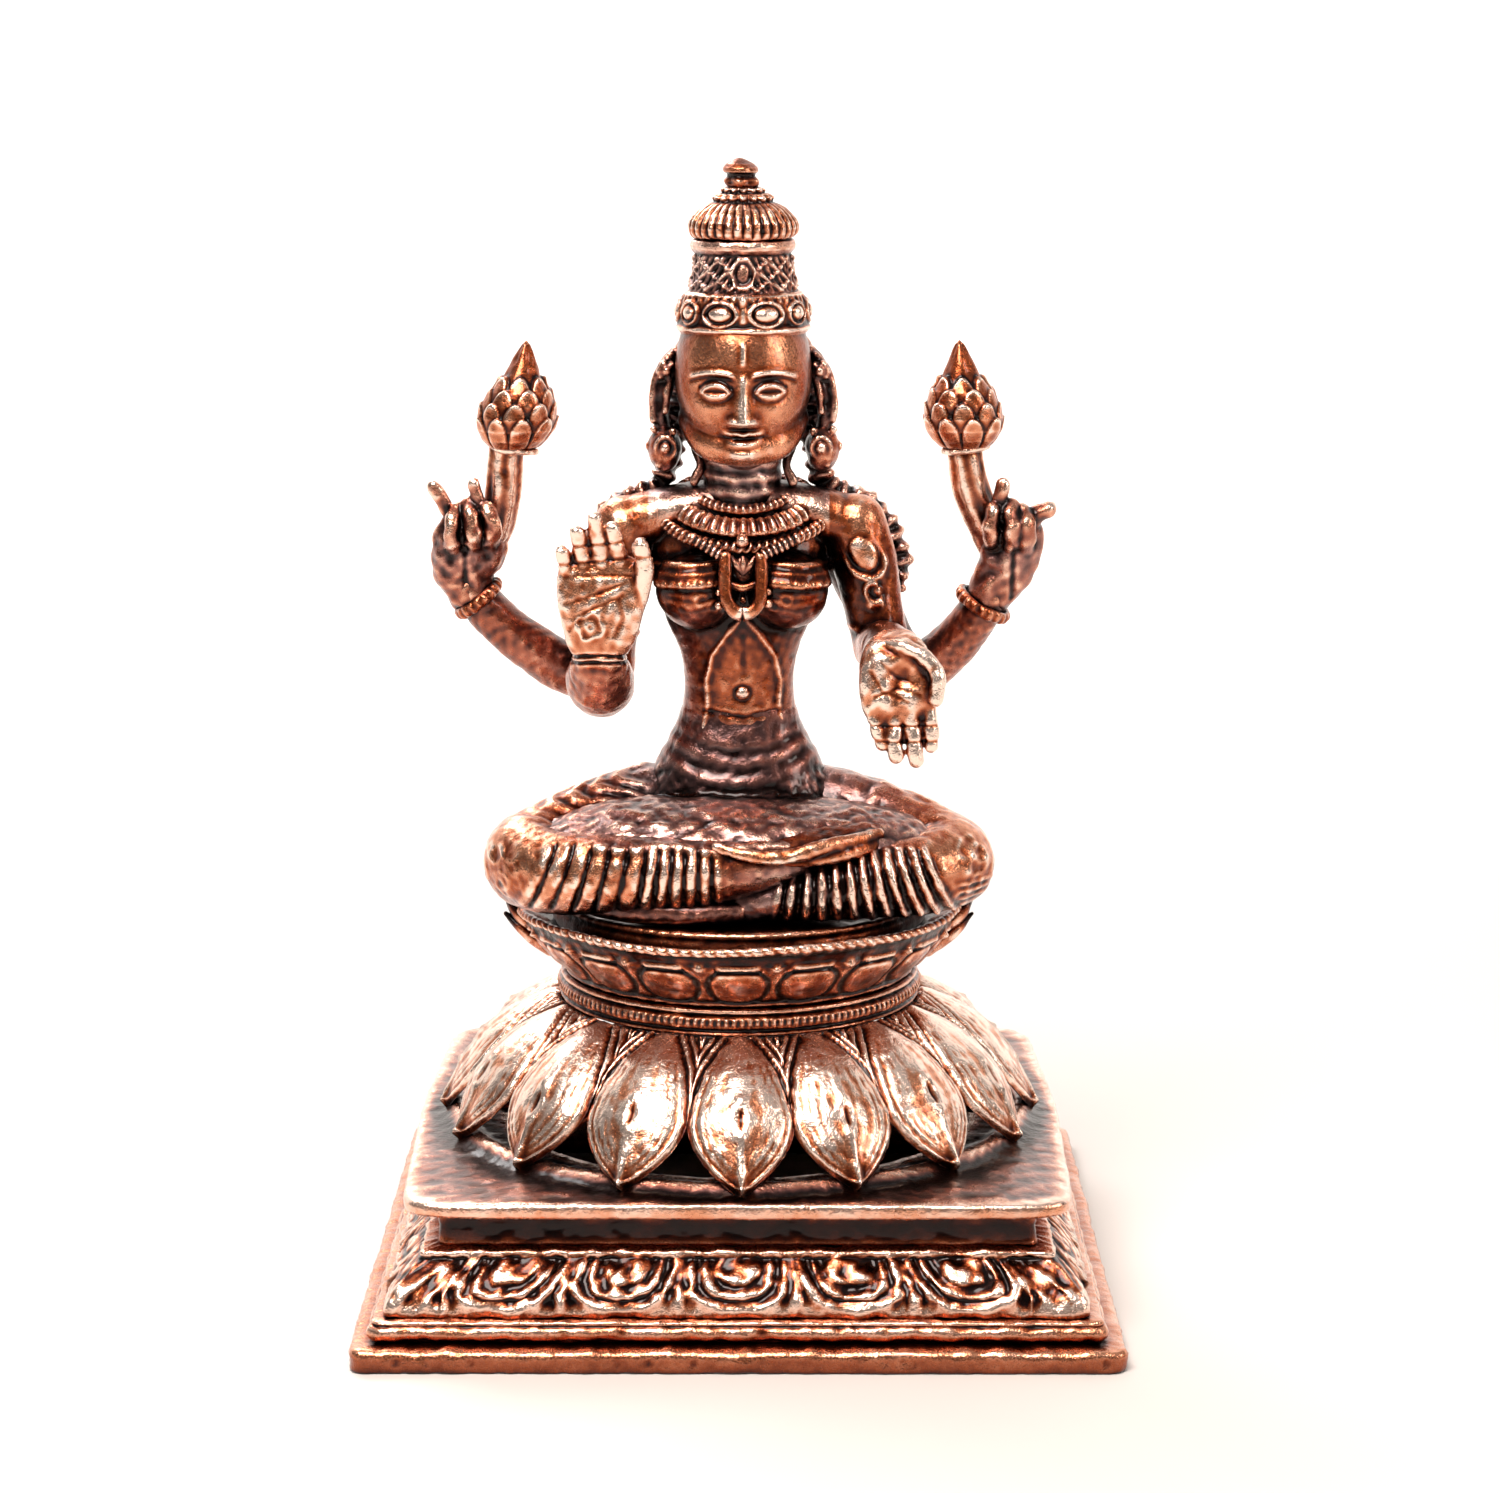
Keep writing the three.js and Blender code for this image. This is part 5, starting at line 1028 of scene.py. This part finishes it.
# a closed section turned about the crown's axis: radius + relief(angle, height, radius). Angle 0 faces the
# front; lean moves the top sideways
def crownRing(section, relief, columns=None, step=0.19, lean=0.0):
    section = denseLine(section, step)
    angle = np.linspace(0, 2 * math.pi, columns or crownSizes["columns"], endpoint=False)[None]
    radius, height = section[:, 0][:, None] + 0 * angle, section[:, 1][:, None] + 0 * angle
    r = radius + relief(angle, height, radius)
    shift = lean * (height - section[0, 1])
    points = np.stack([crownSizes["x"] + shift + r * np.sin(angle), crownSizes["y"] - r * np.cos(angle), height], -1)
    return gridSurface(points)


def wrapped(angle):
    return (angle + math.pi) % (2 * math.pi) - math.pi


def makeCrown():
    def diademRelief(angle, height, radius):
        a = wrapped(angle)
        outer = (radius > 7.4)
        out = 0.30 * bell(height, 127.9, 0.35)
        for centre, wide, tall in [(s * k, w, t) for s in (-1, 1) for k, w, t in ((0.37, 2.2, 1.45), (0.98, 1.6, 1.35), (1.58, 1.9, 1.35), (2.25, 1.9, 1.3))]:
            oval = np.hypot(wrapped(angle - centre) * 8.6 / wide, (height - 130.0) / tall)
            out = out + 0.75 * np.sqrt(np.clip(1 - (oval / 0.78) ** 2, 0, 1)) + 0.50 * bell(oval, 1.06, 0.15)
        out = out + 0.55 * bell(a, 0, 0.07) * smoothStep(height, 128.2, 129.2) + 0.12 * np.cos(a * 40) * bell(height, 131.7, 0.4)
        peak = 0.5 * bell(a, 0, 0.16) * smoothStep(height, 131.0, 132.0)
        return outer * (out + peak)

    section = [[0.05, 126.6], [7.9, 126.6], [8.5, 127.2], [8.75, 127.7], [8.55, 128.4], [8.45, 130.0], [8.2, 131.4], [7.9, 132.3], [7.3, 132.6], [6.6, 132.2], [0.05, 132.2]]
    finishPiece("diadem", crownRing(section, diademRelief), nodes=["diadem"], seed=150, uneven=0.8, polishAndPaintedLight=0.16,
                stain=lambda p: 0.55 * smoothStep(p[:, 1], -4, 2), **polished)

    def bodyRelief(angle, height, radius):
        a = wrapped(angle)
        lattice = np.maximum(bell(np.sin((a * 3.1 + height * 0.62) * 2.0), 0, 0.42), bell(np.sin((a * 3.1 - height * 0.62) * 2.0), 0, 0.42))
        strokes = 0.13 * np.cos(a * 38 + height * 3.0 * np.sign(np.sin(a * 3)))
        panel = smoothStep(height, 132.6, 133.2) * (1 - smoothStep(height, 137.0, 137.5))
        medal = np.hypot(a * 7.0 / 1.5, (height - 135.2) / 1.9)
        plate = 0.40 * bell(medal, 1.0, 0.16) + 0.35 * np.sqrt(np.clip(1 - (medal / 0.6) ** 2, 0, 1))
        return (radius > 4) * (panel * (0.42 * lattice + strokes) * smoothStep(medal, 0.9, 1.2) + panel * plate)

    section = [[0.05, 131.6], [7.3, 131.6], [7.25, 132.4], [6.9, 133.4], [6.5, 134.8], [6.3, 136.4], [6.25, 137.4], [6.6, 137.75], [6.95, 138.2], [7.0, 138.7],
               [6.8, 139.2], [6.3, 139.45], [6.1, 139.6], [0.05, 139.6]]
    finishPiece("crownBody", crownRing(section, bodyRelief), nodes=["crown_body"], seed=151, uneven=1.0, wear=0.8, polishAndPaintedLight=0.12,
                stain=lambda p: 0.35 + 0.45 * smoothStep(-(p[:, 0] - 0.6), -2, 5), **polished)

    ribs = crownSizes["ribs"]

    def cushionRelief(angle, height, radius):
        rib = 0.42 * (np.abs(np.sin(angle * ribs / 2)) ** 0.8 - 0.5) * smoothStep(radius, 3.6, 4.8) * smoothStep(height, 139.4, 140.0)
        beads = 0.30 * np.cos(angle * 17) * bell(height, 144.75, 0.45) * (radius > 2.2) + 0.25 * np.cos(angle * 13) * bell(height, 145.7, 0.35) * (radius > 1.5)
        return rib + beads

    section = [[0.05, 139.3], [5.9, 139.3], [6.7, 139.6], [7.05, 140.2], [7.15, 140.9], [6.95, 141.7], [6.35, 142.6], [5.5, 143.4], [4.4, 144.0], [3.9, 144.2], [3.95, 144.8],
               [3.4, 145.2], [2.7, 145.35], [2.75, 145.9], [2.2, 146.1], [0.05, 146.1]]
    finishPiece("crownCushion", crownRing(section, cushionRelief), nodes=["crown_cushion"], seed=152, uneven=1.0, polishAndPaintedLight=lambda p: 0.05 + 0.10 * smoothStep(p[:, 2], 141, 143), **polished)

    def knobRelief(angle, height, radius):
        return 0.22 * np.cos(angle * 5 + 1) * bell(height, 146.9, 0.6) * (radius > 0.8) + 0.12 * np.cos(angle * 3) * bell(height, 148.4, 0.8) * (radius > 0.8)

    section = [[0.05, 145.9], [1.9, 145.9], [2.2, 146.4], [2.25, 147.0], [1.85, 147.5], [1.9, 147.8], [2.3, 148.1], [2.25, 148.6], [1.8, 149.1], [1.1, 149.5], [0.5, 149.75], [0.05, 149.85]]
    finishPiece("crownFinial", crownRing(section, knobRelief, columns=120, step=0.12, lean=-0.14), nodes=["crown_finial"], seed=153, uneven=0.6, **polished)


# a finger through its joints, a little thinner at the tip
def fingerLimb(points, thick, squash=0.9):
    count = len(points)
    return limb([(*p, thick * (1 - 0.16 * k / (count - 1)), thick * squash * (1 - 0.16 * k / (count - 1))) for k, p in enumerate(points)],
                step=0.3, columns=22)


def makeFrontHands():
    # right hand: palm raised towards the viewer
    fore = [(-18.0, -1.6, 80.4, 3.6, 3.6), (-18.2, -6.2, 80.6, 4.3, 4.2), (-18.3, -10.8, 82.2, 4.5, 4.4), (-18.2, -14.0, 84.8, 3.8, 3.6), (-18.1, -15.6, 87.0, 3.3, 2.8)]
    palm = [(-18.1, -15.7, 86.2, 3.4, 2.6), (-18.0, -16.4, 89.0, 4.7, 2.5), (-17.8, -16.6, 92.5, 5.5, 2.3), (-17.9, -16.5, 96.0, 5.7, 1.9), (-18.0, -16.4, 98.4, 5.3, 1.4)]
    shapes = [limb(fore, step=0.4), limb(palm, step=0.3, square=2.6)]
    fingers = [[(-21.9, -16.6, 96.5), (-22.4, -17.0, 98.6), (-22.8, -17.6, 100.3)], [(-19.8, -16.7, 96.8), (-20.3, -17.1, 100.0), (-20.8, -17.9, 102.9)],
               [(-17.6, -16.8, 97.0), (-18.0, -17.2, 101.0), (-18.6, -18.0, 104.6)], [(-15.3, -16.7, 96.8), (-15.6, -17.2, 100.4), (-16.2, -18.0, 103.4)],
               [(-14.2, -16.4, 91.5), (-12.6, -17.0, 95.0), (-12.1, -17.8, 98.4), (-12.6, -18.4, 101.2)]]
    shapes += [fingerLimb(path, thick) for path, thick in zip(fingers, (1.12, 1.2, 1.25, 1.2, 1.35))]
    shape = welded(shapes, 0.21, 3)
    v = shape[0]
    x, y, z = v.T
    front = smoothStep(-y, 15.8, 17.2)
    lines = [[(-21.8, 90.2), (-19.5, 92.6), (-15.0, 94.6)], [(-22.4, 93.4), (-19.0, 94.6), (-14.6, 96.2)], [(-16.0, 89.4), (-14.9, 91.6), (-15.4, 94.0)],
             [(-22.4, 97.0), (-14.0, 97.2)]]
    relief = -0.10 * sum(lineRelief(x, z, p, 0.34) for p in lines) * front
    rosette = np.hypot(x + 19.2, z - 90.6)
    relief += front * (0.15 * bell(rosette + 0.2 * np.sin(4 * np.arctan2(z - 90.6, x + 19.2)), 1.7, 0.30) + 0.14 * bell(rosette, 0.4, 0.45))
    joints = -0.14 * sum(bell(z - 0.10 * (x + 18), at, 0.22) for at in (99.0, 101.2)) * front
    wrist = -0.42 * bell(z + 0.03 * (x + 18.2) ** 2, 86.6, 0.24) - 0.32 * bell(z + 0.03 * (x + 18.2) ** 2, 85.7, 0.22)
    shape = shifted(shape, relief + joints + wrist * smoothStep(-y, 11, 14) + 0.05 * unevenness(v, 2.6, 161) * front)
    finishPiece("rightForearmAndHand", shape, nodes=["forearm_front_right", "hand_front_right"], seed=160, uneven=1.0,
                polishAndPaintedLight=lambda p: 0.04 + 0.26 * smoothStep(p[:, 2], 86, 90),
                stain=lambda p: 0.35 * smoothStep(-p[:, 2], -88, -82) * smoothStep(-p[:, 1], 8, 14), **polished)

    # left hand: open palm turned down and forward, the thumb arching over it
    fore = [(18.9, -1.6, 85.2, 3.5, 3.5), (19.4, -7.0, 85.6, 3.8, 3.8), (20.0, -13.0, 86.4, 3.4, 3.4), (20.4, -17.6, 87.2, 3.2, 3.0)]
    palm = [(20.4, -18.4, 87.6, 3.3, 2.7), (20.3, -21.2, 86.9, 4.5, 2.6), (20.5, -22.6, 84.4, 5.0, 2.2), (20.8, -23.0, 81.8, 4.9, 1.8), (21.2, -23.1, 79.9, 4.4, 1.3)]
    shapes = [limb(fore, step=0.4), limb(palm, step=0.3, square=2.6)]
    fingers = [[(17.6, -23.0, 80.8), (17.9, -23.6, 78.6), (18.6, -23.9, 76.0)], [(19.9, -23.3, 80.6), (20.0, -24.0, 77.4), (20.4, -24.4, 74.6)],
               [(22.2, -23.3, 80.6), (22.5, -24.0, 77.2), (22.9, -24.4, 74.0)], [(24.4, -23.0, 80.8), (24.8, -23.6, 78.4), (25.0, -23.9, 75.8)],
               [(18.4, -21.6, 88.2), (21.4, -23.2, 88.7), (24.2, -24.2, 87.2), (25.6, -24.8, 84.8), (25.4, -24.9, 82.2)]]
    shapes += [fingerLimb(path, thick) for path, thick in zip(fingers, (1.15, 1.2, 1.2, 1.15, 1.2))]
    shape = welded(shapes, 0.21, 3)
    v = shape[0]
    x, y, z = v.T
    front = smoothStep(-y, 22.4, 23.6) + smoothStep(z, 84, 86) * smoothStep(-y, 20.5, 22.5) * (1 - smoothStep(-y, 22.4, 23.6))
    hollow = -1.1 * np.exp(-((x - 20.9) / 2.6) ** 2 - ((z - 84.6) / 2.1) ** 2)
    lines = [[(17.0, 85.6), (18.6, 83.0), (21.8, 81.8)], [(17.6, 82.4), (20.4, 83.4), (23.4, 82.6)], [(18.4, 86.8), (20.2, 85.2), (22.4, 84.2)]]
    relief = (hollow - 0.11 * sum(lineRelief(x, z, p, 0.28) for p in lines)) * np.clip(front, 0, 1)
    joints = -0.14 * sum(bell(z, at, 0.22) for at in (78.6, 76.6)) * front
    shape = shifted(shape, relief + joints + 0.10 * unevenness(v, 2.0, 163) * front)
    finishPiece("leftForearmAndHand", shape, nodes=["forearm_front_left", "hand_front_left"], seed=162, uneven=1.0,
                polishAndPaintedLight=lambda p: 0.04 + 0.28 * smoothStep(-p[:, 1], 17, 21), **polished)
    print("front hands made")


def makeRearArms():
    arms = {
        "right": {
            "arm": [(-12.6, 4.0, 99.0, 3.2, 3.0), (-15.8, 6.2, 92.0, 3.6, 3.6), (-18.2, 8.0, 83.0, 3.5, 3.5), (-21.8, 7.6, 79.9, 3.5, 3.5), (-28.2, 6.2, 83.6, 3.4, 3.3),
                    (-33.4, 5.2, 88.2, 3.1, 3.0), (-36.6, 4.5, 92.2, 3.0, 2.8)],
            "palm": [(-36.4, 4.5, 91.4, 3.1, 2.8), (-37.0, 4.2, 94.6, 4.5, 3.1), (-36.3, 3.8, 98.4, 5.1, 3.1), (-35.6, 3.6, 101.2, 4.2, 2.5)],
            "fingers": [[(-33.8, 2.4, 98.4), (-32.9, 0.4, 100.2), (-33.4, 0.6, 102.8), (-34.4, 1.8, 103.6)], [(-35.9, 2.0, 98.0), (-35.7, 0.1, 99.8), (-35.9, 0.3, 102.4), (-36.3, 1.6, 103.8)],
                        [(-38.3, 2.2, 97.4), (-38.4, 0.4, 99.2), (-38.4, 0.6, 101.6), (-38.0, 1.8, 103.0)], [(-38.0, 3.2, 101.0), (-39.4, 2.6, 103.6), (-41.0, 2.2, 106.2)],
                        [(-35.0, 2.0, 102.0), (-34.9, 1.4, 104.4), (-35.5, 1.4, 106.6)]],
            "thick": (1.25, 1.25, 1.2, 1.05, 0.95),
            "stem": [(-34.2, 4.4, 97.2, 1.9, 1.9), (-32.6, 4.4, 100.8, 2.3, 2.3), (-31.7, 4.2, 105.5, 2.4, 2.4), (-31.4, 4.0, 109.5, 2.35, 2.35), (-31.0, 4.0, 112.2, 2.3, 2.3)],
            "bud": (-30.3, 4.0, 110.9), "lean": 0.13,
            "bracelet": [((-35.3, 4.7, 90.7), (-0.62, -0.12, 0.78), 3.2)],
        },
        "left": {
            "arm": [(12.6, 4.0, 99.0, 3.2, 3.0), (16.8, 6.2, 92.0, 3.6, 3.6), (20.8, 8.2, 83.6, 3.5, 3.5), (24.6, 8.0, 80.4, 3.5, 3.5), (28.9, 6.6, 83.8, 3.4, 3.3),
                    (31.9, 5.4, 87.8, 3.1, 3.0), (33.8, 4.7, 91.2, 3.0, 2.8)],
            "palm": [(33.6, 4.6, 90.8, 3.1, 2.8), (35.8, 4.3, 94.6, 3.9, 2.9), (36.9, 3.9, 98.6, 4.2, 2.8), (36.6, 3.7, 101.2, 3.7, 2.3)],
            "fingers": [[(34.4, 2.4, 98.6), (33.7, 0.5, 100.4), (33.9, 0.7, 102.8), (34.8, 1.9, 103.6)], [(36.5, 2.0, 98.2), (36.5, 0.2, 100.2), (36.4, 0.5, 102.6), (36.4, 1.7, 103.7)],
                        [(38.5, 2.2, 97.8), (38.7, 0.4, 99.6), (38.6, 0.6, 101.8), (38.2, 1.8, 102.8)], [(38.6, 3.0, 101.2), (40.0, 2.4, 102.4), (41.3, 2.1, 103.0)],
                        [(34.8, 2.0, 103.0), (35.0, 1.4, 105.0), (35.2, 1.4, 106.6)]],
            "thick": (1.25, 1.25, 1.2, 1.45, 1.05),
            "stem": [(34.2, 4.4, 97.5, 1.9, 1.9), (33.0, 4.6, 101.0, 2.4, 2.4), (31.2, 4.3, 105.5, 2.5, 2.5), (30.4, 4.0, 109.5, 2.35, 2.35), (30.2, 4.0, 112.2, 2.3, 2.3)],
            "bud": (30.3, 4.0, 111.0), "lean": -0.06,
            "bracelet": [((33.0, 4.9, 89.8), (0.50, -0.14, 0.85), 3.5)],
        },
    }
    for word, data in arms.items():
        side = -1 if word == "right" else 1
        arm = welded([limb(data["arm"], wide=(0, 1, 0), step=0.5)], 0.26, 3)
        # the rear arms are painted darker: painted shade on the arms that stand behind the body
        finishPiece(f"{word}RearArm", arm, nodes=[f"arm_rear_{word}"], seed=170 + side, uneven=1.0, polishAndPaintedLight=-0.08,
                    stain=lambda p: 0.25 + 0.5 * smoothStep(-np.abs(p[:, 0]), -22, -17), **polished)
        parts = [limb(data["palm"], step=0.4)] + [fingerLimb(path, thick, 1.0) for path, thick in zip(data["fingers"], data["thick"])]
        hand = welded(parts, 0.2, 3)
        v = hand[0]
        hand = shifted(hand, 0.12 * unevenness(v, 2.4, 175 + side) - 0.25 * lineRelief(v[:, 0], v[:, 2], [(side * 36.8, 91), (side * 36.8, 98)], 0.4) * (v[:, 1] < 3))
        finishPiece(f"{word}RearHand", hand, nodes=[f"hand_rear_{word}"], seed=176 + side,
                    stain=lambda p: 0.35 + 0.35 * bell(p[:, 2], 96.5, 2.5) * (p[:, 1] < 3), **polished)
        rings = []
        for at, axis, radius in data["bracelet"]:
            axis = np.array(axis) / np.linalg.norm(axis)
            across = np.cross(axis, (0, 1, 0))
            across /= np.linalg.norm(across)
            deep = np.cross(axis, across)
            a = np.linspace(0, 2 * math.pi, 260, endpoint=False)[:, None]
            b = np.linspace(0, 2 * math.pi, 20, endpoint=False)[None]
            r = radius + (0.62 + 0.10 * np.cos(a * 20)) * np.cos(b)
            up = 0.85 * np.sin(b) + 0 * a
            points = np.array(at) + across * (r * np.cos(a))[..., None] + deep * (r * np.sin(a))[..., None] + axis * up[..., None]
            rings.append(facingOut(gridSurface(points, ends="loop")))
        # the rear bracelets are painted darker still: painted shade behind the body
        finishPiece(f"{word}RearBracelet", joinShapes(rings), nodes=[f"bracelet_rear_{word}"], seed=180 + side, uneven=1.2, polishAndPaintedLight=-0.22, wear=0.7, **polished)
        makeBud(word, data, side)
    print("rear arms and lotus buds made")


# bud turned about its own leaning line: r from a drawn profile, plus rows of overlapping scales. A scale's
# height grows towards its rounded tip and then drops to the row above
def makeBud(word, data, side):
    x0, y0, z0 = data["bud"]
    profile = np.array([[0.05, 0.0], [2.6, 0.0], [3.3, 0.5], [4.1, 1.4], [4.75, 2.8], [4.9, 4.4], [4.6, 6.2], [3.8, 7.9], [2.9, 9.1], [2.3, 10.2], [1.7, 11.6], [1.0, 13.2], [0.45, 14.2], [0.05, 14.6]])
    section = denseLine(profile, 0.13)
    angle = np.linspace(0, 2 * math.pi, 160, endpoint=False)[None]
    radius, height = section[:, 0][:, None] + 0 * angle, section[:, 1][:, None] + 0 * angle
    scales = np.zeros_like(radius)
    for low, tip, count, turn in ((0.3, 4.6, 9, 0.2), (2.6, 6.6, 9, 0.55), (4.8, 8.4, 8, 0.1), (6.6, 9.9, 7, 0.5)):
        t = (height - low) / (tip - low)
        cell = ((angle * count / (2 * math.pi) + turn) % 1.0) * 2 - 1
        edge = np.sqrt(np.clip(1 - np.clip((t - 0.35) / 0.65, 0, 1) ** 2.2, 0, 1)) * (t > 0) * (t < 1)
        within = smoothStep(edge - np.abs(cell), 0.0, 0.22)
        scales = np.maximum(scales, within * (0.25 + 0.75 * t) * (1 - 0.35 * cell ** 2))
    r = radius + 0.78 * scales * (radius > 0.6)
    cone = 0.10 * np.cos(angle * 4 + 0.7) * smoothStep(height, 9.4, 10.5) * (radius > 0.5)
    r = r + cone
    points = np.stack([x0 + data["lean"] * height + r * np.sin(angle), y0 - r * np.cos(angle), z0 + height], -1)
    bud = gridSurface(points)
    stem = limb(data["stem"], step=0.25, columns=60, relief=lambda s, a, z: 0.10 * np.cos(a * 7 + 0.1 * s))
    a = np.linspace(0, 2 * math.pi, 200, endpoint=False)[:, None]
    b = np.linspace(0, 2 * math.pi, 16, endpoint=False)[None]
    r = 2.75 + (0.55 + 0.10 * np.cos(a * 9)) * np.cos(b)
    tilt = 0.12
    ring = np.stack([x0 + 0.1 + r * np.sin(a), y0 - r * np.cos(a), z0 + 0.1 + 0.5 * np.sin(b) - tilt * r * np.sin(a) * (-side)], -1)
    shape = joinShapes([facingOut(s) for s in (bud, stem, gridSurface(ring, ends="loop"))])
    finishPiece(f"{word}LotusBud", shape, nodes=[f"lotus_bud_{word}"], seed=190 + side, uneven=0.9, polishAndPaintedLight=0.10,
                stain=lambda p: 0.35 * smoothStep(-p[:, 2], -108, -100), **polished)


makeLegs()
makeBody()
makeHead()
makeFrontHands()
makeRearArms()


studioSizes = {"near": -1500, "turn": 650, "radius": 350, "high": 2500, "half": 2600, "glowFrom": 0.10, "glowTo": 0.75, "glow": 0.85,
               "farFrom": 0.30, "farTo": 0.95, "farGlow": 0.8}
studioLamps = {
    "windowLight": {"place": (-150, -400, 680), "size": (0.42, 0.32), "power": 7.6, "colour": "#fff8f2"},
    "sideLight": {"place": (560, -260, 330), "size": (0.12, 0.30), "power": 1.2, "colour": "#fff3ea"},
    "backLight": {"place": (-260, 420, 560), "size": (0.30, 0.30), "power": 2.6, "colour": "#ffffff"},
}


def makeStudio():
    # floor that sweeps up into a backdrop: a line, a quarter circle, then a line again
    d = studioSizes
    bend = np.linspace(0, math.pi / 2, 24)
    y = np.concatenate([[d["near"]], d["turn"] + d["radius"] * np.sin(bend), [d["turn"] + d["radius"]]])
    z = np.concatenate([[0], d["radius"] * (1 - np.cos(bend)), [d["high"]]])
    x = np.array([-d["half"], d["half"]])
    points = np.stack([np.broadcast_to(x[None], (len(y), 2)), np.repeat(y[:, None], 2, 1), np.repeat(z[:, None], 2, 1)], -1)
    mesh = meshOf("paleBackdrop", gridSurface(points, around=False, ends="open"))
    backdrop = bpy.data.objects.new("paleBackdrop", mesh)
    bpy.context.scene.collection.objects.link(backdrop)
    # matt painted board, washed with light towards the back so that the eye sees no horizon
    material = bpy.data.materials.new("paintedPaleBackdrop")
    material.use_nodes = True
    tree = material.node_tree
    place = addNode(tree, "ShaderNodeTexCoord").outputs["Object"]
    axes = addNode(tree, "ShaderNodeSeparateXYZ", None, {"Vector": place})
    glow = addNode(tree, "ShaderNodeMapRange", {"interpolation_type": "SMOOTHSTEP"}, {
        "Value": axes.outputs["Y"], "From Min": d["glowFrom"], "From Max": d["glowTo"], "To Min": 0.0, "To Max": d["glow"]})
    away = addNode(tree, "ShaderNodeVectorMath", {"operation": "LENGTH"}, {0: place}).outputs["Value"]
    far = addNode(tree, "ShaderNodeMapRange", {"interpolation_type": "SMOOTHSTEP"}, {
        "Value": away, "From Min": d["farFrom"], "From Max": d["farTo"], "To Min": 0.0, "To Max": d["farGlow"]})
    glow = addNode(tree, "ShaderNodeMath", {"operation": "MAXIMUM"}, {0: glow.outputs[0], 1: far.outputs[0]})
    surface = tree.nodes["Principled BSDF"]
    surface.inputs["Base Color"].default_value = hexColour("#d8d2cd")
    surface.inputs["Roughness"].default_value = 0.8
    surface.inputs["Emission Color"].default_value = hexColour("#fffcf8")
    tree.links.new(glow.outputs[0], surface.inputs["Emission Strength"])
    mesh.materials.append(material)

    for name, lamp in studioLamps.items():
        data = bpy.data.lights.new(name, "AREA")
        data.shape = "RECTANGLE"
        data.size, data.size_y = lamp["size"]
        data.energy = lamp["power"]
        data.color = hexColour(lamp["colour"])[:3]
        box = bpy.data.objects.new(name, data)
        bpy.context.scene.collection.objects.link(box)
        x, y, z = (np.array([0, 0, 75]) - np.array(lamp["place"])) * mm
        box.location = [c * mm for c in lamp["place"]]
        box.rotation_euler = (math.atan2(math.hypot(x, y), -z), 0, math.atan2(x, -y) + math.pi)

    # the room: white where the camera sees it, dim at the horizon and brighter overhead elsewhere
    world = bpy.data.worlds.new("dimRoom")
    world.use_nodes = True
    tree = world.node_tree
    tree.nodes.clear()
    direction = addNode(tree, "ShaderNodeTexCoord").outputs["Generated"]
    axes = addNode(tree, "ShaderNodeSeparateXYZ", None, {"Vector": direction})
    dim = addNode(tree, "ShaderNodeMapRange", None, {"Value": axes.outputs["Z"], "From Min": 0.0, "From Max": 1.0, "To Min": 0.05, "To Max": 0.45})
    seen = addNode(tree, "ShaderNodeLightPath").outputs["Is Camera Ray"]
    seen = addNode(tree, "ShaderNodeMath", {"operation": "MULTIPLY"}, {0: seen, 1: d["farGlow"] + 0.06}).outputs[0]
    strength = addNode(tree, "ShaderNodeMath", {"operation": "MAXIMUM"}, {0: dim.outputs[0], 1: seen})
    back = addNode(tree, "ShaderNodeBackground", None, {"Color": hexColour("#fdfaf8"), "Strength": strength.outputs[0]})
    addNode(tree, "ShaderNodeOutputWorld", None, {"Surface": back.outputs[0]})
    bpy.context.scene.world = world
    bpy.context.scene.view_settings.view_transform = "Standard"
    print("studio lit")


makeStudio()
